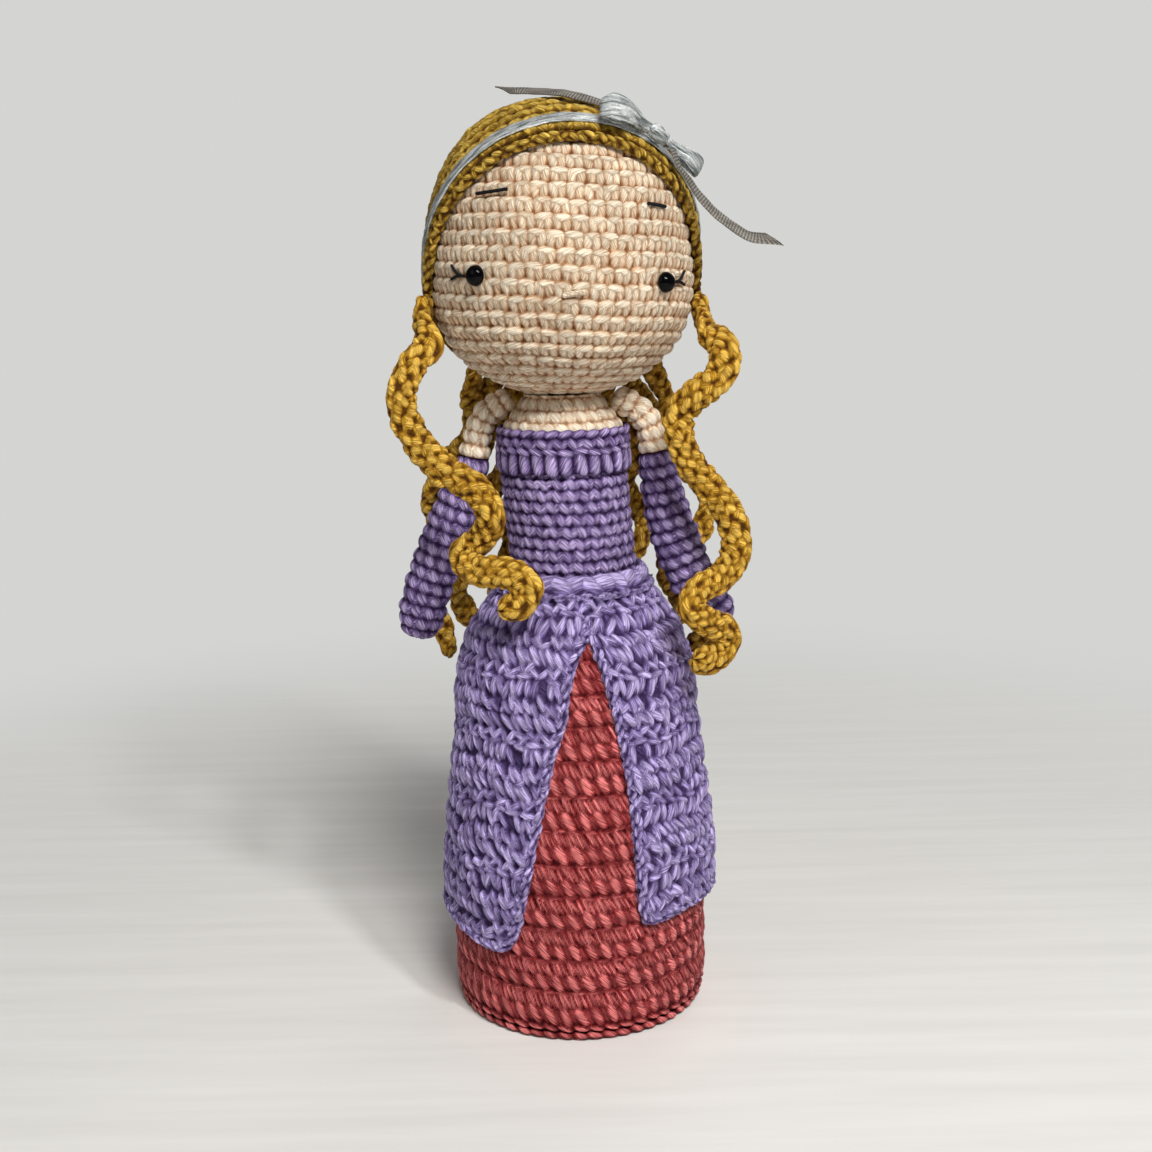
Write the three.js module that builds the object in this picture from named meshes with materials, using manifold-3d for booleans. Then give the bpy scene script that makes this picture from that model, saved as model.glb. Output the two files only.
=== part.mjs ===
// A crocheted doll that stands on the round base of her long skirt.
// Millimetres, +Z up, the face looks along -Y, and the origin is the middle of the base's underside.
// Left and right are the viewer's, so left is -X.
// Each piece is one closed solid: crocheted fabric is a shell with its stuffing inside it, and pieces that
// touch keep a small clearance.

import * as THREE from "three";
import { mergeVertices } from "three/addons/utils/BufferGeometryUtils.js";
import Module from "manifold-3d";

const wasm = await Module();
wasm.setup();

// Sizes shared by the whole doll
const GAP = 0.35; // clearance between pieces that touch
const FABRIC = 2.6; // thickness of the crocheted fabric
const OVERRUN = 20; // how far a cutter runs past what it cuts
const WELD = 0.0005; // points nearer than this are one point

// Base and rose underskirt
const BASE_RADIUS = 41.2;
const BASE_THICKNESS = 3;
const CARD_THICKNESS = 1.5;
const SKIRT_RADIUS = 42.2; // widest radius of the underskirt
const WAIST_HEIGHT = 143; // underside of the bodice
// Outer profile of the underskirt: share of SKIRT_RADIUS, share of the height from the base to the waist
const SKIRT_SHARES = [
  [0.982, 0],
  [1, 0.035],
  [1, 0.264],
  [0.99, 0.37],
  [0.924, 0.535],
  [0.875, 0.65],
  [0.836, 0.792],
  [0.718, 0.9],
  [0.58, 0.957],
  [0.468, 1],
];

// Lilac bodice, its ribbed band, and the peach chest and neck
const BODICE_RADIUS = 20.3;
const BAND_BOTTOM = 177.8;
const BAND_HEIGHT = 14.7;
const BAND_THICKNESS = 2.1;
const BAND_RIBS = 28;
const RIB_DEPTH = 0.7;
const BAND_LIP = 1.5; // height of the smooth rolled top edge above the ribs
const BODICE_TOP = 186;
const NECK_TOP = 201.6;
const NECK_RADIUS = 12.4;
const TORSO_LEAN = 2.5; // the body leans this far towards -X between the overskirt and the band
// Chest: share of the way from NECK_RADIUS out to the band's inner radius, share of the height
const CHEST_SHARES = [
  [1, 0],
  [1, 0.36],
  [0.66, 0.6],
  [0.2, 0.83],
  [0, 1],
];

// Lilac overskirt, open at the front
const OVERSKIRT_THICKNESS = 3.3;
const OVERSKIRT_TOP = 147.5;
const HEM_HEIGHT = 32.5; // at the left side
const HEM_SWAY = 4.8; // the hem dips and climbs by about this much
// Hem seen from the front: across as a share of SKIRT_RADIUS, over HEM_HEIGHT as a share of HEM_SWAY
const HEM_SHARES = [
  [-1.4, 0.1],
  [-1.05, 0],
  [-0.8, -0.5],
  [-0.52, -0.9],
  [-0.25, -0.4],
  [0, 0.4],
  [0.48, 1.1],
  [0.8, 1.3],
  [1.4, 1.4],
];
const SLIT_TOP = 131; // the two front edges meet here
const SLIT_WIDTH = 42; // at the hem
// Slit outline from its top: side to side as a share of SLIT_WIDTH, down as a share of SLIT_TOP - HEM_HEIGHT
const SLIT_LEFT_SHARES = [
  [0.03, 0.06],
  [-0.04, 0.16],
  [-0.08, 0.27],
  [-0.19, 0.4],
  [-0.26, 0.53],
  [-0.34, 0.68],
  [-0.4, 0.82],
  [-0.49, 0.97],
  [-0.62, 1.06],
];
const SLIT_RIGHT_SHARES = [
  [0.18, 0.08],
  [0.24, 0.16],
  [0.3, 0.27],
  [0.36, 0.38],
  [0.4, 0.5],
  [0.43, 0.61],
  [0.45, 0.72],
  [0.47, 0.87],
  [0.5, 0.94],
  [0.6, 1.0],
];
const SLIT_APEX_SHARE = 0.1;
const SLIT_END_SHARE = 1.4; // the cutter ends this far down, below the hem

// Head: an oval, widest below its middle, with a neck opening underneath
const HEAD_CENTRE = 235; // height of its widest place
const HEAD_RADIUS = 40.6;
const HEAD_LEAN = 1.6; // the head and its stick stand this far towards -X
const HEAD_ABOVE = 53.8;
const HEAD_BELOW = 33;
const POWER_ABOVE = 2.4;
const POWER_BELOW = 2.2;
const FACE_TURN = 5; // degrees towards +X

// Stick that carries the head
const STICK_RADIUS = 3;
const STICK_BOTTOM = 152;
const STICK_TOP = 240;

// Safety eyes, with a washer behind the fabric
const EYE_ANGLE = 42.6; // degrees each side of the nose
const LEFT_EYE_RISE = 4; // above the widest place
const RIGHT_EYE_RISE = 1.1; // the doll's face is sewn a little askew
const EYE_RADIUS = 3.1;
const EYE_DOME = 2.9;
const POST_RADIUS = 1.2;
const POST_LENGTH = 8;
const WASHER_RADIUS = 4.5;
const WASHER_THICKNESS = 1.5;
const WASHER_SEAT = 0.9; // the flat washer's stand-off inside the curved fabric

// Stitched nose, brows and lashes
const THREAD_RADIUS = 0.65;
const NOSE_RADIUS = 0.9;
const NOSE_WIDTH = 7;
const NOSE_DROP = 2; // below the widest place
const NOSE_TILT = 0.5;
const LEFT_BROW_RISE = 27.7;
const RIGHT_BROW_RISE = 23.3;
const LEFT_BROW_ANGLE = 37;
const RIGHT_BROW_ANGLE = 41.3;
const LEFT_BROW_WIDTH = 11;
const RIGHT_BROW_WIDTH = 8;
const BROW_TILT = 0.4; // the outer end lies this much lower
const LASH_START = 4.3; // from the eye's centre, outwards
const LASH_LENGTH = 6.5;
const LASH_SPREAD = 3.4;

// Hair: a cap over the back of the head, its rolled hairline, and hanging locks
const CAP_THICKNESS = 2.6;
const CAP_BOTTOM = 22; // below the head's widest place
const RIM_SLOPE = 0.69; // the rim's plane leans forwards this much per unit of height
const RIM_SKEW = 0.12; // and sideways
const RIM_FORWARD = 3.1; // front of the hairline at the widest place, ahead of the head's axis
const HAIRLINE_RADIUS = 1.4;
const HAIRLINE_END = 3; // it ends this far below the widest place
const LOCK_WIDTH = 9.6;
const LOCK_DEPTH = 5.6;
const BACK_LOCK_WIDTH = 8.2;
const LOCKS_A_SIDE = 4;
const BACK_LOCK_FIRST = 10; // degrees from the middle of the back
const BACK_LOCK_STEP = 19.2; // degrees, where they hang
const BACK_ROOT_STEP = 15.4; // degrees, at the cap's edge
const BACK_LOCK_BOTTOM = 112;
const HANG_RADIUS = 48.4; // the hanging locks' distance from the doll's axis
const COIL_RADIUS = 2.9;
const COIL_TURNS = 2.75;
// Each back lock's length, from the middle outwards
const BACK_LENGTH_SHARES = [0.96, 0.86, 0.93, 1];
// Routes of the front locks from the head's widest place, as shares of HEAD_RADIUS: x, y, z
const LOCK_LEFT_SHARES = [
  [-1.06, -0.18, -0.14],
  [-1.07, -0.24, -0.22],
  [-1.05, -0.34, -0.3],
  [-1.01, -0.47, -0.4],
  [-1.123, -0.57, -0.538],
  [-1.209, -0.64, -0.777],
  [-1.133, -0.69, -1.032],
  [-0.922, -0.764, -1.283],
  [-0.666, -0.813, -1.447],
  [-0.56, -0.837, -1.645],
  [-0.65, -0.72, -1.838],
  [-0.78, -0.68, -1.935],
  [-0.699, -0.813, -2.05],
  [-0.458, -0.9, -2.06],
  [-0.304, -0.915, -2.15],
  [-0.36, -0.925, -2.29],
  [-0.52, -0.925, -2.33],
];
const LOCK_RIGHT_SHARES = [
  [1.068, 0.08, -0.16],
  [1.075, 0.02, -0.24],
  [1.09, -0.14, -0.3],
  [1.125, -0.36, -0.37],
  [1.2, -0.517, -0.48],
  [1.16, -0.542, -0.659],
  [0.989, -0.542, -0.799],
  [0.873, -0.5, -0.93],
  [0.859, -0.5, -1.098],
  [0.926, -0.5, -1.28],
  [1.053, -0.5, -1.46],
  [1.197, -0.5, -1.644],
  [1.282, -0.5, -1.853],
  [1.272, -0.53, -2.05],
  [1.149, -0.6, -2.19],
  [0.99, -0.69, -2.26],
  [0.92, -0.76, -2.37],
  [1.03, -0.72, -2.49],
  [1.178, -0.6, -2.59],
  [1.198, -0.54, -2.73],
  [1.07, -0.62, -2.82],
  [0.94, -0.76, -2.78],
];

// Ribbon round the cap, tied in a bow
const RIBBON_WIDTH = 6;
const RIBBON_THICKNESS = 0.6;
const RIBBON_BACK = 5.2; // its plane crosses the widest place this far behind the axis
const RIBBON_SLOPE = 0.69; // and leans forwards this much per unit of height
const RIBBON_SKEW = 0.15; // and this much sideways
const RIBBON_END = 19; // its ends are tucked in this far below the widest place
const BOW_X = 27.5;
const KNOT_LENGTH = 7.5;
const KNOT_DEPTH = 5.4;
const LOOP_LENGTH = 15.5;
const LOOP_HEIGHT = 5.6;
const SMALL_LOOP_LENGTH = 12;
const SMALL_LOOP_HEIGHT = 4.2;
const TAIL_WIDTH = 4.4; // the ribbon is creased there
const TAIL_ON_BAND_SHARE = 0.4; // of the loop's length, where the left tail leaves the band
// Routes of the tails' free ends from the head's widest place, as shares of HEAD_RADIUS: x, y, z
const TAIL_LEFT_SHARES = [
  [0.431, -0.549, 1.212],
  [0.313, -0.502, 1.305],
  [0.155, -0.473, 1.355],
  [0.01, -0.394, 1.4],
  [-0.212, -0.222, 1.436],
  [-0.421, -0.148, 1.458],
];
const TAIL_RIGHT_SHARES = [
  [0.838, -0.458, 0.862],
  [0.905, -0.443, 0.775],
  [0.965, -0.438, 0.69],
  [1.045, -0.435, 0.6],
  [1.15, -0.42, 0.505],
  [1.286, -0.4, 0.412],
  [1.4, -0.394, 0.352],
  [1.583, -0.394, 0.327],
];

// Arms: a peach upper arm that ends in a lilac glove, sewn on at the neck, free to be lifted sideways
const SHOULDER_X = 19.55;
const SHOULDER_HEIGHT = 199.4;
const SHOULDER_RADIUS = 4.5;
const ARM_DROP = 69; // height from the shoulder to the middle of the hand
const ARM_REACH = 28; // how far out the hand is from the shoulder
const HAND_RADIUS = 7.9;
const GLOVE_START = 0.265; // share of the arm's length that is bare
// Routes of the arms: out as a share of ARM_REACH, down as a share of ARM_DROP
const ARM_LEFT_SHARES = [
  [0, 0],
  [0.165, 0.046],
  [0.252, 0.11],
  [0.292, 0.18],
  [0.343, 0.28],
  [0.575, 0.514],
  [0.79, 0.735],
  [0.93, 0.89],
  [1, 1],
];
const ARM_RIGHT_SHARES = [
  [0, 0],
  [0.18, 0.046],
  [0.28, 0.113],
  [0.325, 0.188],
  [0.37, 0.29],
  [0.49, 0.52],
  [0.67, 0.74],
  [0.84, 0.88],
  [0.99, 0.98],
];
// Radius along the arm: share of its length, share of the way from SHOULDER_RADIUS to HAND_RADIUS
const ARM_RADIUS_SHARES = [
  [0, 0],
  [0.2, 0.02],
  [0.27, 0.15],
  [0.36, 0.5],
  [0.5, 0.8],
  [0.65, 1],
  [0.85, 1],
  [1, 0.92],
];

// How finely the round forms are cut
const ROUND = 28;
const ROUND_SMALL = 16;
const OVAL_ROWS = 6; // rows above and below the head's widest place
const RIB_POINTS = 3;
const EDGE_SIDES = 8;
const LOCK_SIDES = 6;
const ARM_SIDES = 12;

const UP = new THREE.Vector3(0, 0, 1);
const radians = THREE.MathUtils.degToRad;

// Solids and geometries

function solidOf(geometry) {
  const plain = geometry.clone();
  for (const name of Object.keys(plain.attributes)) {
    if (name !== "position") plain.deleteAttribute(name);
  }
  const merged = mergeVertices(plain, WELD);
  const index = merged.index.array;
  const triVerts = [];
  for (let i = 0; i < index.length; i += 3) {
    const [a, b, c] = [index[i], index[i + 1], index[i + 2]];
    if (a !== b && b !== c && c !== a) triVerts.push(a, b, c);
  }
  return new wasm.Manifold(
    new wasm.Mesh({
      numProp: 3,
      vertProperties: merged.attributes.position.array,
      triVerts: new Uint32Array(triVerts),
    }),
  );
}

function geometryOf(solid) {
  const mesh = solid.getMesh();
  const geometry = new THREE.BufferGeometry();
  geometry.setAttribute("position", new THREE.BufferAttribute(mesh.vertProperties, mesh.numProp));
  geometry.setIndex(new THREE.BufferAttribute(mesh.triVerts, 1));
  return geometry;
}

function cut(geometry, ...tools) {
  return geometryOf(tools.reduce((solid, tool) => solid.subtract(solidOf(tool)), solidOf(geometry)));
}

// A form turned about Z from a profile of [radius, height] pairs that runs up the outside
function turned(profile, segments) {
  const geometry = new THREE.LatheGeometry(
    profile.map(([r, z]) => new THREE.Vector2(r, z)),
    segments,
  );
  return geometry.rotateX(Math.PI / 2);
}

// A turned shell: up its outer profile, down its inner one, and closed
function shell(outer, inner, segments) {
  return turned([...outer, ...inner.slice().reverse(), outer[0]], segments);
}

// A closed form through rings of points with as many points each
function loft(rings) {
  const sides = rings[0].length;
  const points = rings.flat();
  const triangles = [];
  for (let i = 0; i + 1 < rings.length; i++) {
    for (let j = 0; j < sides; j++) {
      const a = i * sides + j;
      const b = i * sides + ((j + 1) % sides);
      triangles.push(a, b, b + sides, a, b + sides, a + sides);
    }
  }
  const last = (rings.length - 1) * sides;
  for (let j = 1; j + 1 < sides; j++) {
    triangles.push(0, j + 1, j, last, last + j, last + j + 1);
  }
  const geometry = new THREE.BufferGeometry().setFromPoints(points);
  geometry.setIndex(triangles);
  return geometry;
}

// A form swept along a curve. Each station is [share of the curve, share of the full section], and facing
// gives the direction that the section's flat side looks in.
function sweep(curve, stations, sides, halfWidth, halfDepth, facing) {
  const rings = stations.map(([at, size]) => {
    const centre = curve.getPointAt(at);
    const along = curve.getTangentAt(at);
    const look = facing(at, centre).clone();
    look.addScaledVector(along, -look.dot(along)).normalize();
    const across = new THREE.Vector3().crossVectors(look, along);
    const [w, d] = [halfWidth(at) * size, halfDepth(at) * size];
    return Array.from({ length: sides }, (_, j) => {
      const angle = ((j + 0.5) / sides) * 2 * Math.PI;
      return centre
        .clone()
        .addScaledVector(across, w * Math.cos(angle))
        .addScaledVector(look, d * Math.sin(angle));
    });
  });
  return loft(rings);
}

// Stations from one share of a curve to another, drawn in at the ends that are round
function stations(from, to, steps, startRound, endRound) {
  const list = [];
  const bend = [0.35, 0.75];
  for (const b of startRound ? bend : []) {
    list.push([from + startRound * (1 - Math.sqrt(1 - b * b)), b]);
  }
  const low = from + startRound;
  const high = to - endRound;
  for (let i = 0; i <= steps; i++) list.push([low + ((high - low) * i) / steps, 1]);
  for (const b of endRound ? bend.slice().reverse() : []) {
    list.push([to - endRound * (1 - Math.sqrt(1 - b * b)), b]);
  }
  return list;
}

function ramp(table, at) {
  const next = Math.max(1, table.findIndex(([share]) => share >= at));
  const [a, b] = [table[next - 1], table[next]];
  return THREE.MathUtils.mapLinear(at, a[0], b[0], a[1], b[1]);
}

// The head's oval, grown outwards by an amount

function ovalRadius(z, grow) {
  const [height, power] = z < 0 ? [HEAD_BELOW, POWER_BELOW] : [HEAD_ABOVE, POWER_ABOVE];
  const part = Math.min(1, Math.abs(z) / (height + grow));
  return (HEAD_RADIUS + grow) * (1 - part ** power) ** (1 / power);
}

function ovalHeight(radius, grow, above) {
  const [height, power] = above ? [HEAD_ABOVE, POWER_ABOVE] : [HEAD_BELOW, POWER_BELOW];
  const part = Math.min(1, radius / (HEAD_RADIUS + grow));
  return (above ? 1 : -1) * (height + grow) * (1 - part ** power) ** (1 / power);
}

// Profile from a radius under the head, or a depth below its widest place, up to the top of the axis
function ovalProfile(grow, openRadius, openDepth, rows) {
  const start = openDepth
    ? Math.asin((openDepth / (HEAD_BELOW + grow)) ** (POWER_BELOW / 2))
    : Math.acos((openRadius / (HEAD_RADIUS + grow)) ** (POWER_BELOW / 2));
  const list = [];
  for (let i = rows; i > 0; i--) {
    const t = (start * i) / rows;
    list.push([
      (HEAD_RADIUS + grow) * Math.cos(t) ** (2 / POWER_BELOW),
      -(HEAD_BELOW + grow) * Math.sin(t) ** (2 / POWER_BELOW),
    ]);
  }
  for (let i = 0; i <= rows; i++) {
    const t = ((Math.PI / 2) * i) / rows;
    const r = i === rows ? 0 : (HEAD_RADIUS + grow) * Math.cos(t) ** (2 / POWER_ABOVE);
    list.push([r, (HEAD_ABOVE + grow) * Math.sin(t) ** (2 / POWER_ABOVE)]);
  }
  return list;
}

// A point and the outward direction on the grown oval, at an angle from the front towards +X
function onHead(angle, z, grow) {
  const r = ovalRadius(z, grow);
  const [height, power] = z < 0 ? [HEAD_BELOW, POWER_BELOW] : [HEAD_ABOVE, POWER_ABOVE];
  const slopeOut = r ** (power - 1) / (HEAD_RADIUS + grow) ** power;
  const slopeUp = (Math.sign(z) * Math.abs(z) ** (power - 1)) / (height + grow) ** power;
  const out = new THREE.Vector3(Math.sin(angle) * slopeOut, -Math.cos(angle) * slopeOut, slopeUp);
  return { point: new THREE.Vector3(r * Math.sin(angle), -r * Math.cos(angle), z), out: out.normalize() };
}

// The closed curve where a plane cuts the grown oval, from its lower right over the top to its lower left
function planeOnHead(normal, distance, grow, turns) {
  const centre = normal.clone().multiplyScalar(distance);
  const right = new THREE.Vector3(1, 0, 0).addScaledVector(normal, -normal.x).normalize();
  const over = new THREE.Vector3().crossVectors(right, normal).negate();
  if (over.z < 0) over.negate();
  return turns.map((angle) => {
    const way = right.clone().multiplyScalar(Math.cos(angle)).addScaledVector(over, Math.sin(angle));
    let [near, far] = [0, HEAD_RADIUS + HEAD_ABOVE];
    for (let i = 0; i < ROUND; i++) {
      const mid = (near + far) / 2;
      const p = centre.clone().addScaledVector(way, mid);
      const inside = Math.hypot(p.x, p.y) < ovalRadius(p.z, grow) && p.z < HEAD_ABOVE + grow;
      if (inside) near = mid;
      else far = mid;
    }
    return centre.clone().addScaledVector(way, near);
  });
}

// A big block whose top face lies on the plane through `at` with the given upward normal
function block(at, normal) {
  const size = HEAD_ABOVE + HEAD_BELOW + HEAD_RADIUS;
  const geometry = new THREE.BoxGeometry(2 * size, 2 * size, 2 * size);
  geometry.translate(0, 0, -size);
  geometry.applyQuaternion(new THREE.Quaternion().setFromUnitVectors(UP, normal));
  return geometry.translate(at.x, at.y, at.z);
}

// The scene

const doll = new THREE.Group();
const head = new THREE.Group();
head.position.set(-HEAD_LEAN, 0, HEAD_CENTRE);
const face = new THREE.Group();
face.rotation.z = radians(FACE_TURN);
head.add(face);
doll.add(head);

const yarn = (color) => new THREE.MeshStandardMaterial({ color, roughness: 0.9, metalness: 0 });
const PEACH = yarn(0xe9c3a2);
const LILAC = yarn(0x9484c4);
const ROSE = yarn(0xb4555c);
const MUSTARD = yarn(0xb07a1e);
const WADDING = yarn(0xf2f0ea);
const THREAD = new THREE.MeshStandardMaterial({ color: 0x14141a, roughness: 0.7, metalness: 0 });
const BEAD = new THREE.MeshStandardMaterial({ color: 0x0a0a0c, roughness: 0.12, metalness: 0 });
const WASHER = new THREE.MeshStandardMaterial({ color: 0xe8e8e4, roughness: 0.5, metalness: 0 });
const SATIN = new THREE.MeshStandardMaterial({ color: 0xa9adb2, roughness: 0.35, metalness: 0.1 });
const CARD = new THREE.MeshStandardMaterial({ color: 0xb59a74, roughness: 0.95, metalness: 0 });
const WOOD = new THREE.MeshStandardMaterial({ color: 0xcaa779, roughness: 0.7, metalness: 0 });

function add(parent, name, geometry, material) {
  const mesh = new THREE.Mesh(geometry, material);
  mesh.name = name;
  parent.add(mesh);
  return mesh;
}

// Base: a crocheted round with a card disc on it

const baseEdge = BASE_THICKNESS / 3;
add(
  doll,
  "base_panel",
  turned(
    [
      [0, 0],
      [BASE_RADIUS - baseEdge, 0],
      [BASE_RADIUS, baseEdge],
      [BASE_RADIUS, BASE_THICKNESS],
      [0, BASE_THICKNESS],
    ],
    ROUND,
  ),
  ROSE,
);

const cardBottom = BASE_THICKNESS + GAP;
const cardTop = cardBottom + CARD_THICKNESS;
const skirtOuter = SKIRT_SHARES.map(([r, z]) => [
  r * SKIRT_RADIUS,
  cardBottom + z * (WAIST_HEIGHT - cardBottom),
]);
const inset = (profile, by) => profile.map(([r, z]) => [r - by, z]);
const cardRadius = skirtOuter[0][0] - FABRIC - GAP;
add(
  doll,
  "base_card",
  turned([[0, cardBottom], [cardRadius, cardBottom], [cardRadius, cardTop], [0, cardTop]], ROUND),
  CARD,
);

// Body shells: underskirt, bodice, chest

add(doll, "underskirt", shell(skirtOuter, inset(skirtOuter, FABRIC), ROUND), ROSE);

const bodiceBottom = WAIST_HEIGHT + GAP;
const bandTop = BAND_BOTTOM + BAND_HEIGHT;
const bandInner = BODICE_RADIUS - BAND_THICKNESS / 2;
const tucked = bandInner - GAP; // radius of the body behind the band
const leanFrom = OVERSKIRT_TOP + GAP;
const bodiceOuter = [
  [BODICE_RADIUS, bodiceBottom],
  [BODICE_RADIUS, leanFrom],
  [BODICE_RADIUS, BAND_BOTTOM - GAP],
  [tucked, BAND_BOTTOM - GAP],
  [tucked, BODICE_TOP],
];
const bodiceInner = [
  [BODICE_RADIUS - FABRIC, bodiceBottom],
  [BODICE_RADIUS - FABRIC, leanFrom],
  [BODICE_RADIUS - FABRIC, BAND_BOTTOM - GAP - FABRIC],
  [tucked - FABRIC, BAND_BOTTOM - GAP],
  [tucked - FABRIC, BODICE_TOP],
];

// Moves a form of the body sideways, more and more from the overskirt's top up to the band
function leaning(geometry) {
  const points = geometry.getAttribute("position");
  for (let i = 0; i < points.count; i++) {
    const share = THREE.MathUtils.clamp((points.getZ(i) - leanFrom) / (BAND_BOTTOM - leanFrom), 0, 1);
    points.setX(i, points.getX(i) - share * TORSO_LEAN);
  }
  return geometry;
}

add(doll, "bodice", leaning(shell(bodiceOuter, bodiceInner, ROUND)), LILAC);

const chestBottom = BODICE_TOP + GAP;
const chestOuter = CHEST_SHARES.map(([out, up]) => [
  NECK_RADIUS + out * (tucked - NECK_RADIUS),
  chestBottom + up * (NECK_TOP - chestBottom),
]);
add(doll, "chest", leaning(shell(chestOuter, inset(chestOuter, FABRIC), ROUND)), PEACH);

// Ribbed band: upright posts round the top of the bodice, under a rolled edge

const bandOuter = bandInner + BAND_THICKNESS;
const bandPoints = BAND_RIBS * RIB_POINTS;
const bandRing = (radius, depth, z) =>
  Array.from({ length: bandPoints }, (_, i) => {
    const angle = (i / bandPoints) * 2 * Math.PI;
    const rib = Math.abs(Math.sin((angle * BAND_RIBS) / 2));
    const r = radius + depth * (rib - 1);
    return new THREE.Vector3(r * Math.cos(angle), r * Math.sin(angle), z);
  });
const ribTop = bandTop - BAND_LIP;
const bandRings = [
  bandRing(bandOuter - RIB_DEPTH, RIB_DEPTH, BAND_BOTTOM),
  bandRing(bandOuter, RIB_DEPTH, BAND_BOTTOM + RIB_DEPTH),
  bandRing(bandOuter, RIB_DEPTH, ribTop - RIB_DEPTH),
  bandRing(bandOuter - RIB_DEPTH, 0, ribTop),
  bandRing(bandOuter - RIB_DEPTH, 0, bandTop),
];
const bandCore = new THREE.CylinderGeometry(bandInner, bandInner, 2 * OVERRUN + BAND_HEIGHT, ROUND);
bandCore.rotateX(Math.PI / 2).translate(0, 0, (BAND_BOTTOM + bandTop) / 2);
add(doll, "bodice_band", leaning(cut(loft(bandRings), bandCore)), LILAC);

// Stuffing of the body, with the bore for the stick

const inside = (profile) => inset(profile, FABRIC + GAP);
const stuffing = [
  [0, cardTop + GAP],
  ...inside(skirtOuter).slice(1),
  [BODICE_RADIUS - FABRIC - GAP, bodiceBottom + GAP],
  [BODICE_RADIUS - FABRIC - GAP, leanFrom],
  [BODICE_RADIUS - FABRIC - GAP, BAND_BOTTOM - FABRIC - 2 * GAP],
  [tucked - FABRIC - GAP, BAND_BOTTOM - 2 * GAP],
  ...inside(chestOuter),
  [0, NECK_TOP],
];
stuffing.splice(1, 0, [inside(skirtOuter)[0][0] - GAP, cardTop + GAP]);
const firstUp = stuffing.findIndex(([, z], i) => i > 1 && z > cardTop + GAP);
const stuffedBody = leaning(turned([...stuffing.slice(0, 2), ...stuffing.slice(firstUp)], ROUND));
const boreTop = NECK_TOP + OVERRUN;
const boreBottom = STICK_BOTTOM - GAP;
const bore = new THREE.CylinderGeometry(STICK_RADIUS + GAP, STICK_RADIUS + GAP, boreTop - boreBottom, ROUND);
bore.rotateX(Math.PI / 2).translate(-HEAD_LEAN, 0, (boreTop + boreBottom) / 2);
add(doll, "body_filling", cut(stuffedBody, bore), WADDING);

const stick = new THREE.CylinderGeometry(STICK_RADIUS, STICK_RADIUS, STICK_TOP - STICK_BOTTOM, ROUND_SMALL);
stick.rotateX(Math.PI / 2);
add(doll, "neck_stick", stick, WOOD).position.set(-HEAD_LEAN, 0, (STICK_TOP + STICK_BOTTOM) / 2);

// Overskirt: turned from the waist to below the hem, then cut along the slanting hem and up the front

const waistInner = BODICE_RADIUS + GAP;
const overInner = [
  ...skirtOuter.filter(([r], i) => i > 0 && r > waistInner).map(([r, z]) => [r + 1.4 * GAP, z]),
  [waistInner, WAIST_HEIGHT + 2 * GAP],
  [waistInner, OVERSKIRT_TOP],
];
const overOuter = [
  ...overInner.slice(0, -2).map(([r, z]) => [r + OVERSKIRT_THICKNESS, z]),
  [waistInner + 1.25 * OVERSKIRT_THICKNESS, WAIST_HEIGHT + OVERSKIRT_THICKNESS / 2],
  [waistInner + OVERSKIRT_THICKNESS / 2, OVERSKIRT_TOP],
];
const slitDrop = SLIT_TOP - HEM_HEIGHT;
const slitPoint = ([x, down]) => new THREE.Vector2(x * SLIT_WIDTH, SLIT_TOP - down * slitDrop);
const slitOutline = new THREE.Shape([
  slitPoint([SLIT_APEX_SHARE, 0]),
  ...SLIT_LEFT_SHARES.map(slitPoint),
  slitPoint([SLIT_LEFT_SHARES.at(-1)[0], SLIT_END_SHARE]),
  slitPoint([SLIT_RIGHT_SHARES.at(-1)[0], SLIT_END_SHARE]),
  ...SLIT_RIGHT_SHARES.slice().reverse().map(slitPoint),
]);
const slit = new THREE.ExtrudeGeometry(slitOutline, {
  depth: SKIRT_RADIUS + OVERRUN,
  bevelEnabled: false,
  steps: 1,
});
slit.rotateX(Math.PI / 2);
const hemPoint = ([x, up]) => new THREE.Vector2(x * SKIRT_RADIUS, HEM_HEIGHT + up * HEM_SWAY);
const hemOutline = new THREE.Shape([
  ...HEM_SHARES.map(hemPoint),
  new THREE.Vector2(HEM_SHARES.at(-1)[0] * SKIRT_RADIUS, -OVERRUN),
  new THREE.Vector2(HEM_SHARES[0][0] * SKIRT_RADIUS, -OVERRUN),
]);
const reach = SKIRT_RADIUS + OVERRUN;
const hem = new THREE.ExtrudeGeometry(hemOutline, { depth: 2 * reach, bevelEnabled: false, steps: 1 });
hem.rotateX(Math.PI / 2).translate(0, reach, 0);
add(doll, "overskirt", cut(shell(overOuter, overInner, ROUND), hem, slit), LILAC);

// Head shell, with a hole for each eye's post

const neckHole = NECK_RADIUS - FABRIC;
const headShell = shell(
  ovalProfile(0, neckHole, 0, OVAL_ROWS),
  ovalProfile(-FABRIC, neckHole, 0, OVAL_ROWS),
  ROUND,
);
const stuffed = turned(
  [
    [0, STICK_TOP + GAP - HEAD_CENTRE],
    [STICK_RADIUS + GAP, STICK_TOP + GAP - HEAD_CENTRE],
    [STICK_RADIUS + GAP, ovalHeight(neckHole, -FABRIC - GAP, false)],
    ...ovalProfile(-FABRIC - GAP, neckHole, 0, OVAL_ROWS),
  ],
  ROUND,
);

// A cylinder along a direction, from one distance to another
function rod(radius, from, to, at, way) {
  const geometry = new THREE.CylinderGeometry(radius, radius, to - from, ROUND_SMALL);
  geometry.rotateX(Math.PI / 2).translate(0, 0, (to + from) / 2);
  geometry.applyQuaternion(new THREE.Quaternion().setFromUnitVectors(UP, way));
  return geometry.translate(at.x, at.y, at.z);
}

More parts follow.
